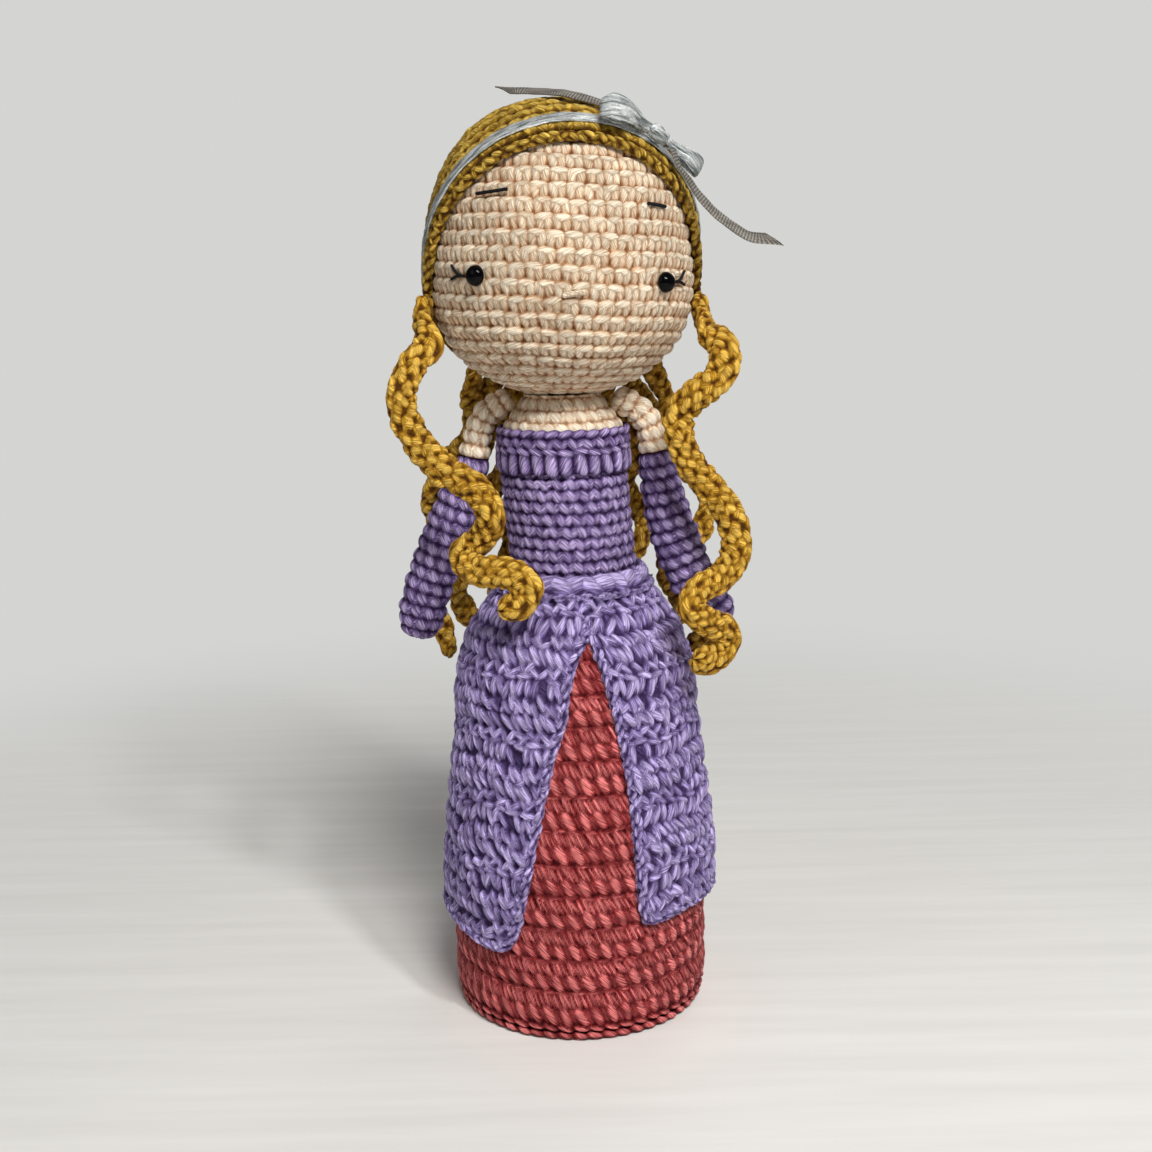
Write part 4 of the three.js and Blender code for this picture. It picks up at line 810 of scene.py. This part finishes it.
def oval_profile(grow, count=160):
    """The grown oval's profile, from the opening at the neck to the top."""
    reach = HEAD_RADIUS + grow
    start = math.acos((NECK_OPENING / reach) ** (POWER_BELOW / 2))
    halves = (
        (np.linspace(start, 0, count), -BELOW - grow, POWER_BELOW),
        (np.linspace(0, math.pi / 2 - 0.002, count)[1:], ABOVE + grow, POWER_ABOVE),
    )
    return np.concatenate([
        np.stack([reach * np.cos(t) ** (2 / power), height * np.sin(t) ** (2 / power)], -1)
        for t, height, power in halves
    ])


def on_oval(angle, z, grow):
    """A point and the outward direction on the grown oval, at an angle from the front towards +X."""
    r = oval_radius(z, grow)
    height, power = oval_half(z, grow)
    slope_out = r ** (power - 1) / (HEAD_RADIUS + grow) ** power
    slope_up = np.sign(z) * np.abs(z) ** (power - 1) / height**power
    return round_axis(r, angle, z), unit(round_axis(slope_out, angle, slope_up))


def on_face(angle, z, grow):
    point, out = on_oval(np.asarray(angle, float) + FACE_TURN, np.asarray(z, float), grow)
    return point + HEAD_PLACE, out


def head():
    pitch, seam_at, samples = 4.75, 2.1, 800
    profile = oval_profile(0)
    points, turn, along = turned_grid(profile, 0.42, 0.45)
    line, length = resample(profile, samples)
    run = np.linspace(0, length, samples)
    first = np.interp(seam_at, line[:, 1], run) % pitch - pitch
    edges = np.arange(first - pitch, length + 2 * pitch, pitch)
    rows = round_rows(edges, [FACE], run, line[:, 0], 5.3, 6)
    # the rounds climb by one row a turn, as they do when they are worked in a spiral
    along = along + pitch * turn + 0.035 * points[..., 0] + 0.25 * np.sin(10 * np.pi * turn)
    points = bulging(points, along, edges, 0.55 * smoothstep(points[..., 2], -33, -27), peak=1.35)
    crochet("head_crochet", points + HEAD_PLACE, turn, along, rows, 41, FABRIC - 0.3, PEACH, "head",
            relief=1.15, proud=0.35, fill=0.95, lumps=0.3, pole=True, inner_rows=24)


def eye(side, word):
    """A bead on its post, turned about the outward direction."""
    point, out = on_face(side * EYE_ANGLE, EYE_RISE[side], 0.0)
    profile = [(0.05, -8), (1.1, -8), (1.2, -7.9), (1.2, 0.3), (3.0, 0.35)]
    dome = np.linspace(0, math.pi / 2, 22)
    profile += [(3.1 * math.cos(a) ** 0.85 + 0.001, 0.55 + 2.7 * math.sin(a)) for a in dome]
    line, _ = resample(np.array(profile), 90)
    angle = np.arange(56) / 56 * 2 * np.pi
    aside = unit(np.cross(out, [0, 0, 1.0]))
    ring = np.cos(angle)[:, None] * aside + np.sin(angle)[:, None] * np.cross(aside, out)
    points = point + line[:, 1][:, None, None] * out + line[:, 0][:, None, None] * ring[None]
    solid_tube("bead_" + word, points, 0 * points, BEAD, "eye_" + word)


def stitches(name, strokes, radius, lift, material, node, seed, relief, twist=TWIST):
    """Threads laid on the face, each stroke a list of (angle, height)."""
    for number, stroke in enumerate(strokes):
        seat, out = on_face(*np.transpose(stroke), lift)
        line, length = spline(seat, 60)
        facing = between(np.linspace(0, 1, 60), np.linspace(0, 1, len(out)), out)
        piece, pitch = name + ("_%d" % number if number else ""), 0.9 * radius / 0.65
        tube(piece, line, radius, radius, facing, twist, pitch, 3, 0.12, (radius, radius), seed + number,
             material, node, relief, 0.05, length)


def across(length, z):
    return length / float(oval_radius(z, 0))


def face():
    nose = [(across(k * 3.5, -2), k * 0.5 - 1.7) for k in (-1, 0, 1)]
    stitches("nose_yarn", [nose], 0.8, 0.1, PEACH, "nose_stitch", 51, 0.2, STRANDS)
    for (side, word), (rise, angle, width) in zip(SIDES, ((27.7, 37, 11), (23.3, 41.3, 8))):
        middle = side * math.radians(angle)
        brow = [(middle + across(k * width / 2, rise), rise - k * side * 0.4) for k in (-1, 0, 1)]
        stitches("brow_thread_" + word, [brow], 0.5, 0.8, THREAD, "brow_" + word, 52, 0.15)
        eye_z = EYE_RISE[side]
        upper, lower = (
            [(side * (EYE_ANGLE + across(out, eye_z)), eye_z + up) for out, up in zip((4.3, 7.5, 10.8), ups)]
            for ups in ((0, 0.7, 3.4), (0, 0, -0.9))
        )
        stitches("lash_thread_" + word, [upper, lower], 0.42, 0.8, THREAD, "lash_" + word, 53, 0.15)


head()
for side, word in SIDES:
    eye(side, word)
face()

# ---------------------------------------------------------------- hair

CAP_THICK, CAP_BOTTOM = 2.6, 22.0
RIM_WAY, HAIRLINE_RADIUS = np.array([-0.12, 1, 0.69]), 1.4
RIM = unit(RIM_WAY)
HAIRLINE_AT = -3.1 / float(np.linalg.norm(RIM_WAY)) + HAIRLINE_RADIUS
CAP_AT = HAIRLINE_AT + HAIRLINE_RADIUS + GAP


def oval_hit(origin, way, grow):
    """Where each unit direction from the origin meets the grown oval."""
    near, far = np.zeros(way.shape[:-1]), np.full(way.shape[:-1], 120.0)
    for _ in range(40):
        mid = (near + far) / 2
        p = origin + way * mid[..., None]
        inside = np.hypot(p[..., 0], p[..., 1]) < oval_radius(p[..., 2], grow)
        inside &= np.abs(p[..., 2]) < ABOVE + grow
        near, far = np.where(inside, mid, near), np.where(inside, far, mid)
    return origin + way * near[..., None]


def plane_ways(normal):
    """The directions in a plane that go to the right and, in front of the head, up."""
    right = unit(np.array([1.0, 0, 0]) - normal[0] * normal)
    return right, np.cross(right, normal)


def plane_curve(normal, distance, grow, degrees):
    """The curve in which a plane cuts the grown oval, at angles from the right."""
    right, rise = plane_ways(normal)
    turns = np.radians(degrees)
    return oval_hit(normal * distance, np.cos(turns)[:, None] * right + np.sin(turns)[:, None] * rise, grow)


def wig_cap():
    """The cap: rounds about an axis that leans back, down to the hairline in front and the nape behind."""
    columns, pitch = 520, 4.0
    turn = np.arange(columns) / columns - 0.5
    right, rise = plane_ways(RIM)
    ring = np.cos(2 * np.pi * turn)[:, None] * rise + np.sin(2 * np.pi * turn)[:, None] * right
    tilt = np.linspace(0.004, math.pi * 0.72, 700)
    way = RIM * np.cos(tilt)[:, None, None] + ring[None] * np.sin(tilt)[:, None, None]
    reach = oval_hit(np.zeros(3), way, GAP + CAP_THICK)
    run = run_along(reach)
    ahead = reach @ RIM >= CAP_AT
    kept = ahead & (reach[..., 2] >= -CAP_BOTTOM)
    limit, rim_run = (run[np.argmin(a, axis=0) - 1, np.arange(columns)] for a in (kept, ahead))
    for _ in range(4):
        limit = (np.roll(limit, 1) + 2 * limit + np.roll(limit, -1)) / 4
    at = np.linspace(1, 0.004, 190)[:, None] * limit[None]
    points = np.stack([between(at[:, j], run[:, j], reach[:, j]) for j in range(columns)], 1)
    along = (rim_run[None] - at) / rim_run * rim_run.mean()
    edges = np.arange(-4 * pitch, along.max() + pitch, pitch)
    off_axis = np.linalg.norm(points - (points @ RIM)[..., None] * RIM, axis=-1).mean(axis=1)
    rows = round_rows(edges, [SLANT], along.mean(axis=1), off_axis, 4.2, 5)
    crochet("cap_crochet", points + HEAD_PLACE, np.tile(turn, (len(at), 1)), along, rows, 61, CAP_THICK - 0.3,
            CAP_GOLD, "wig_cap", relief=1.4, proud=0.3, lumps=0.15, pole=True, inner_rows=20)


def hairline():
    line = plane_curve(RIM, HAIRLINE_AT, GAP + HAIRLINE_RADIUS, np.linspace(-30, 210, 240))
    line, _ = resample(line[line[:, 2] > -3], 480)
    tube("hairline_braid", line + HEAD_PLACE, HAIRLINE_RADIUS, 1.35, unit(line), BRAID, 4.2, 2, 0.3, (1, 1), 62,
         CAP_GOLD, "hairline_edge", relief=0.8, proud=0.35)
    return line


def strip(name, route, half_width, facing_of, seed, node):
    """A lock: a crocheted strip along a route, which ripples a little."""
    _, length = spline(route, 2)
    line, _ = spline(route, int(length / 0.46))
    share = np.linspace(0, 1, len(line))
    ripple = np.sin(share * length / 9.0 + seed)
    tube(name, line + HEAD_PLACE, half_width + 0.25 * ripple, 2.7 + 0.1 * ripple, facing_of(share), KNOBS, 3.7,
         4 if half_width > 4 else 3, 0.42, (half_width, half_width), seed, GOLD, node, 1.35, 0.4, length)


LOCK_LEFT = [
    (-1.06, -0.18, -0.14), (-1.07, -0.24, -0.22), (-1.05, -0.34, -0.3), (-1.01, -0.47, -0.4),
    (-1.123, -0.57, -0.538), (-1.209, -0.64, -0.777), (-1.133, -0.69, -1.032), (-0.922, -0.764, -1.283),
    (-0.666, -0.813, -1.447), (-0.56, -0.837, -1.645), (-0.65, -0.72, -1.838), (-0.78, -0.68, -1.935),
    (-0.699, -0.813, -2.05), (-0.458, -0.9, -2.06), (-0.304, -0.915, -2.15), (-0.36, -0.925, -2.29),
    (-0.52, -0.925, -2.33),
]
LOCK_RIGHT = [
    (1.068, 0.08, -0.16), (1.075, 0.02, -0.24), (1.09, -0.14, -0.3), (1.125, -0.36, -0.37),
    (1.2, -0.517, -0.48), (1.16, -0.542, -0.659), (0.989, -0.542, -0.799), (0.873, -0.5, -0.93),
    (0.859, -0.5, -1.098), (0.926, -0.5, -1.28), (1.053, -0.5, -1.46), (1.197, -0.5, -1.644),
    (1.282, -0.5, -1.853), (1.272, -0.53, -2.05), (1.149, -0.6, -2.19), (0.99, -0.69, -2.26),
    (0.92, -0.76, -2.37), (1.03, -0.72, -2.49), (1.178, -0.6, -2.59), (1.198, -0.54, -2.73),
    (1.07, -0.62, -2.82), (0.94, -0.76, -2.78),
]


def front_locks(hair_line):
    for (side, word), shares, (end, before) in zip(SIDES, (LOCK_LEFT, LOCK_RIGHT), ((-1, -4), (0, 3))):
        root = hair_line[end] + 2 * GAP * unit(hair_line[end] - hair_line[before])

        def facing(share):
            k = smoothstep(share, 0.03, 0.17)
            return np.stack([side * (1 - k), -k, 0 * k], -1)

        route = np.concatenate([[root], np.array(shares) * HEAD_RADIUS])
        strip("lock_" + word, route, 4.6, facing, 71 + side, "lock_front_" + word)


def back_locks():
    """Four corkscrews a side, which spread from the nape as they hang."""
    root_radius = float(oval_radius(-CAP_BOTTOM, GAP + CAP_THICK / 2))
    spread_radius, longest, turns, coil = 48.4, 100.65, 2.75, 2.9
    for side, word in SIDES:
        for j, share_long in enumerate((0.96, 0.86, 0.93, 1)):

            def ways(t):
                azimuth = side * np.radians(10 + j * (15.4 + 3.8 * smoothstep(t, 0, 0.55)))
                out = np.stack([np.sin(azimuth), np.cos(azimuth), 0 * azimuth], -1)
                aside = np.stack([np.cos(azimuth), -np.sin(azimuth), 0 * azimuth], -1)
                turn = math.radians(90 * j) + 2 * np.pi * turns * t
                return out, np.cos(turn)[:, None] * out + np.sin(turn)[:, None] * aside

            t = np.linspace(0, 1, 28)
            out, round_coil = ways(t)
            r = root_radius + (spread_radius - root_radius) * smoothstep(t, 0, 0.55)
            route = r[:, None] * out + coil * np.minimum(1, t / 0.15)[:, None] * round_coil
            route[:, 2] = -CAP_BOTTOM - GAP - longest * share_long * t
            name = "%s_%d" % (word, j + 1)
            seed = 80 + 10 * side + j
            strip("lock_" + name, route, 3.9, lambda share: ways(share)[1], seed, "lock_back_" + name)


wig_cap()
front_locks(hairline())
back_locks()

# ---------------------------------------------------------------- ribbon

RIBBON_THICK = 0.6
BAND_STEEP = np.array([-0.15, 1, 0.69])
BAND_WAY, BAND_DISTANCE = unit(BAND_STEEP), 5.2 / float(np.linalg.norm(BAND_STEEP))
LEAN_SIN, LEAN_COS = math.sin(0.8), math.cos(0.8)
UNDER = GAP + CAP_THICK + GAP
OVER = UNDER + RIBBON_THICK
TAILS = (
    (6.2, 6, [(0.431, -0.549, 1.212), (0.313, -0.502, 1.305), (0.155, -0.473, 1.355), (0.01, -0.394, 1.4),
              (-0.212, -0.222, 1.436), (-0.421, -0.148, 1.458)]),
    (1.875, 7, [(0.838, -0.458, 0.862), (0.905, -0.443, 0.775), (0.965, -0.438, 0.69), (1.045, -0.435, 0.6),
                (1.15, -0.42, 0.505), (1.286, -0.4, 0.412), (1.4, -0.394, 0.352), (1.583, -0.394, 0.327)]),
)


def ribbon(name, line, across_way, width, thick, node, seed, fold=0.3, wave=0.12, materials=(SATIN,), ends=0.0,
           pleats=0):
    """A strip of ribbon along a line. across_way gives its width's direction at each point, fold bends its
    edges away from its middle by so many mm, pleats crease it lengthwise, and ends draws out the corners of
    its last end. A second material is for its underside."""
    count, columns = len(line), 21
    tangent = unit(np.gradient(line, axis=0))
    across_way = unit(across_way - (across_way * tangent).sum(-1, keepdims=True) * tangent)
    look = np.cross(across_way, tangent)
    along = run_along(line)[:, None]
    width, fold, pleats = (np.broadcast_to(a, (count,))[:, None] for a in (width, fold, pleats))
    u = np.linspace(-1, 1, columns)[None]
    a, b = np.random.default_rng(seed).uniform(0, 6.28, 2)
    ripple = wave * (np.sin(along * 0.9 + 2.4 * u + a) * 0.5 + np.sin(along * 0.37 - 3.1 * u + b) * 0.8)
    sag = ripple - fold * u**2 + pleats * (np.sin(8.5 * u + a) + 0.5 * np.sin(15 * u + b))
    middle = line[:, None] + across_way[:, None] * (width / 2 * u)[..., None] + look[:, None] * sag[..., None]
    middle = middle + tangent[:, None] * (smoothstep(along, along[-1] - 6, along[-1]) * ends * u)[..., None]
    out = normals(middle, False)
    own = np.stack([u * width / 2, along + 0 * u, 0.1 * seed + 0 * ripple], -1).reshape(-1, 3)
    size = count * columns
    r, up, end = np.arange(columns - 1), np.arange(count - 1) * columns, (count - 1) * columns
    quads = [grid_faces(count, columns, False), grid_faces(count, columns, False, size, True)]
    sides = ((r + 1, r), (end + r, end + r + 1), (up, up + columns), (up + 2 * columns - 1, up + columns - 1))
    quads += [joined(p, q, size) for p, q in sides]
    points = np.concatenate([(middle + out * k * thick / 2).reshape(-1, 3) for k in (1, -1)]) + HEAD_PLACE
    own = np.concatenate([own, own])
    obj = make(name, points, np.concatenate(quads), [], own, np.ones(2 * size), materials, node)
    if len(materials) > 1:
        index = np.zeros(len(obj.data.polygons), np.int32)
        index[len(quads[0]) : len(quads[0]) + len(quads[1])] = 1
        obj.data.polygons.foreach_set("material_index", index)


def bow_place():
    """A function that gives the point and the outward way at a distance from the bow along the round, and at
    a height over it."""
    line, _ = resample(plane_curve(BAND_WAY, BAND_DISTANCE, OVER, np.linspace(0, 180, 900)), 1800)
    bow = int(np.argmax(line[:, 0] < 27.5))
    run = run_along(line)

    def on_band(distance, height):
        p = between(run[bow] + distance, run, line)
        _, out = on_oval(np.arctan2(p[0], -p[1]), p[2], OVER)
        return p + out * height, out

    return on_band


def ribbon_parts():
    knot_high, knot_half, knot_radius = 2.5, 3.4, 2.0
    line = plane_curve(BAND_WAY, BAND_DISTANCE, (UNDER + OVER) / 2, np.linspace(-40, 220, 520))
    line, _ = resample(line[line[:, 2] > -19], 300)
    low = smoothstep(-line[:, 2], -24, -4)[:, None]
    line = line + (0.4 + 2.8 * low) * BAND_WAY - 0.55 * low * unit(line * (1, 1, 0.6))
    ribbon("ribbon_round", line, np.tile(BAND_WAY, (300, 1)), 4.7, 0.45, "ribbon_band", 3)
    on_band = bow_place()

    # the knot: a wrapped, puckered wad
    a, b = on_band(-knot_half, knot_high)[0], on_band(knot_half, knot_high)[0]
    t = np.linspace(0, 1, 60)
    line = a + (b - a) * t[:, None]
    size = knot_radius * (0.75 + 0.25 * np.sin(np.pi * t))
    grid, turn, along = tube_grid(line, size, size, np.tile(on_band(0, 0)[1], (60, 1)), 0.28, (1.4, 1.4))
    angle = 2 * np.pi * turn
    pleat = 0.34 * np.sin(5 * angle + along * 0.8) + 0.15 * np.sin(11 * angle - along * 1.3)
    grid = grid + unit(grid - line[:, None]) * pleat[..., None]
    own = np.stack([turn * 16, along, 0.4 + 0 * turn], -1)
    solid_tube("ribbon_tie", grid + HEAD_PLACE, own, SATIN, "ribbon_knot")

    # the loops: each a flat pouch, pinched at the knot, whose broad side leans back from the camera
    root = 3.3
    for (side, word), (length, wide, deep, seed) in zip(SIDES, ((15.8, 7.4, 2.0, 4), (13.4, 5.6, 1.5, 5))):
        way = -side
        share = np.linspace(0, 1, 140)
        s = (0.5 - 0.5 * np.cos(2 * np.pi * share)) ** 0.85
        width = wide * (0.36 + 0.64 * smoothstep(s, 0.0, 0.8)) * (1 - 0.3 * smoothstep(s, 0.8, 1))
        apart = deep * np.sin(2 * np.pi * share) * (0.3 + 0.7 * smoothstep(s, 0, 0.6))
        rise = 0.8 + LEAN_SIN * width / 2 + LEAN_COS * deep * (0.3 + 0.7 * s) + (0.0 if way > 0 else 0.7 * s)
        rise = rise + (knot_high - rise) * (1 - smoothstep(s, 0, 0.35))
        line, ahead = (
            np.array([on_band(way * (root + k * length + more), h)[0] for k, h in zip(s, rise)])
            for more in (0, 0.5)
        )
        away = np.array([on_band(way * (root + k * length), 0)[1] for k in s])
        ahead = unit(ahead - line)
        back = unit(BAND_WAY - (ahead @ BAND_WAY)[:, None] * ahead)
        line = line + (LEAN_COS * away - LEAN_SIN * back) * apart[:, None] - 1.5 * s[:, None] * BAND_WAY
        across_way = (LEAN_COS * back + LEAN_SIN * away) * way
        ribbon("ribbon_bow_" + word, line, across_way, width, 0.5, "ribbon_loop_" + word, seed,
               0.5 * np.sin(np.pi * share), pleats=0.38 * (1 - smoothstep(s, 0.1, 0.8)))

    # the tails: each leaves from under the knot; the right one is lifted and drawn forward
    for (side, word), (onto, seed, shares) in zip(SIDES, TAILS):
        lift, root, low = max(side, 0), 3.75 + GAP, RIBBON_THICK / 2 + 2 * GAP
        route = [
            on_band(-side * (root + s * onto), low + 1.2 * s * lift)[0] - 2.2 * s * lift * BAND_WAY
            for s in (0, 0.5, 1)
        ]
        forward = lift * np.outer((1.4, 1.2, 1, 0.8, 0.5, 0.2, 0, 0), (1, -1, 0))
        line, _ = spline(np.concatenate([route, np.array(shares) * HEAD_RADIUS + forward[: len(shares)]]), 200)
        # towards its end the tail turns its flat side to the front
        look = unit(line) - np.array([0, 0.55, 0]) * smoothstep(np.linspace(0, 1, 200), 0.15, 0.5)[:, None]
        across_way = np.cross(unit(np.gradient(line, axis=0)), look)
        ribbon("ribbon_end_" + word, line, across_way, 3.4, 0.4, "ribbon_tail_" + word, seed, wave=0.1,
               materials=(GROSGRAIN, SATIN), ends=3.0)


ribbon_parts()

# ---------------------------------------------------------------- arms

ARM_LEFT = [
    (0, 0), (0.165, 0.046), (0.252, 0.11), (0.292, 0.18), (0.343, 0.28), (0.575, 0.514), (0.79, 0.735),
    (0.93, 0.89), (1, 1),
]
ARM_RIGHT = [
    (0, 0), (0.18, 0.046), (0.28, 0.113), (0.325, 0.188), (0.37, 0.29), (0.49, 0.52), (0.67, 0.74),
    (0.84, 0.88), (0.99, 0.98),
]
ARM_RADIUS = [(0, 0), (0.2, 0.02), (0.27, 0.15), (0.36, 0.5), (0.5, 0.8), (0.65, 1), (0.85, 1), (1, 0.92)]
SHOULDER_OUT, SHOULDER_HEIGHT, ARM_OUT, ARM_DROP, WRIST = 19.55, 199.4, 28, 69, 0.265


def arm_radius(t):
    return 4.5 + 3.4 * np.interp(t, *np.transpose(ARM_RADIUS))


def arms():
    for (side, word), shares in zip(SIDES, (ARM_LEFT, ARM_RIGHT)):
        aside, down = np.transpose(shares)
        x, z = side * (SHOULDER_OUT + aside * ARM_OUT) - 2.5, SHOULDER_HEIGHT - down * ARM_DROP
        fine, length = spline(np.stack([x, 0 * x, z], -1), 800)
        run, tangent = np.linspace(0, 1, 800), unit(np.gradient(fine, axis=0))
        for name, node, low, high, first, last, around, seed, material in (
            ("arm_crochet_", "upper_arm_", 0, WRIST, 1, 0, 7, 90, LIMBS_PAINTED_LIGHT),
            ("glove_crochet_", "glove_", WRIST + GAP / length, 1, 0, 1, 10, 92, LILAC),
        ):
            # the ball ends reach past the curve by the arm's radius
            before, after = first * arm_radius(low), last * arm_radius(high)
            start, end = low * length - before, high * length + after
            s = np.linspace(start, end, int((end - start) / 0.45))
            inside = np.clip(s, 0, length)
            line = between(inside / length, run, fine)
            line = line + between(inside / length, run, tangent) * (s - inside)[:, None]
            size = arm_radius(inside / length) * (1 + 0.03 * np.sin(s * 0.8 + side))
            for reach, past in ((before, low * length - s), (after, s - high * length)):
                if reach:
                    size = size * np.sqrt(np.clip(1 - (np.clip(past, 0, reach) / reach) ** 2, 0.003, 1))
            facing = np.tile([0.0, -1, 0], (len(s), 1))
            tube(name + word, line, size, size, facing, BOBBLES, 4.2, around, 0.45, (0, 0), seed + side,
                 material, node + word, 1.35, 0.2, end - start, fill=0.8, body="arm_" + word)


arms()

# ---------------------------------------------------------------- inside


def fillings():
    """The wadding of the body and of the head, each with a bore for the neck's stick."""
    inset, bore = FABRIC + GAP + 0.3, 3.8
    upper = [(BODICE_RADIUS, 144.2), (BODICE_RADIUS, 174), (TUCKED_RADIUS, 178), (TUCKED_RADIUS, 190),
             (14, 195), (NECK_RADIUS, 201)]
    outer = [(r - inset, z) for r, z in [p for p in SKIRT_PROFILE if 6 < p[1] < 142] + upper]
    body = [(0.3, 5.6), (outer[0][0] - 1.5, 5.6)] + outer + [(bore, 201.2), (bore, 151.4), (0.3, 151.2)]
    oval = oval_profile(-FABRIC - GAP - 0.5)
    inner = [(0.3, 5.6), (bore, 5.5), (bore, oval[0, 1] + 0.2), *oval[:-1], (0.3, oval[-1, 1])]
    for word, profile in (("body", body), ("head", inner)):
        points, turn, _ = turned_grid(profile, 1.6, 2.2)
        dent = np.random.default_rng(99).normal(0, 0.22, turn.shape)
        dent = (dent + np.roll(dent, 1, 1) + np.roll(dent, -1, 1)) / 3
        points = points - normals(points, True) * np.abs(dent)[..., None]
        if word == "head":
            points = points + HEAD_PLACE
        else:
            # the hole for the stick stays under the head
            hole = np.hypot(points[..., 0], points[..., 1]) < 4.2
            points = np.where((hole & (points[..., 2] > 150))[..., None], points - [1.6, 0, 0], leaning(points))
        own = np.stack([points[..., 0], points[..., 1], 0.5 + 0 * turn], -1)
        solid_tube("wadding_" + word, points, own, WADDING, word + "_filling")


fillings()
inner_parts = {"base_card": CARD, "neck_stick": WOOD, "eye_washer_left": WASHER, "eye_washer_right": WASHER}
for node, material in inner_parts.items():
    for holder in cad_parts[node].material_slots:
        holder.material = material
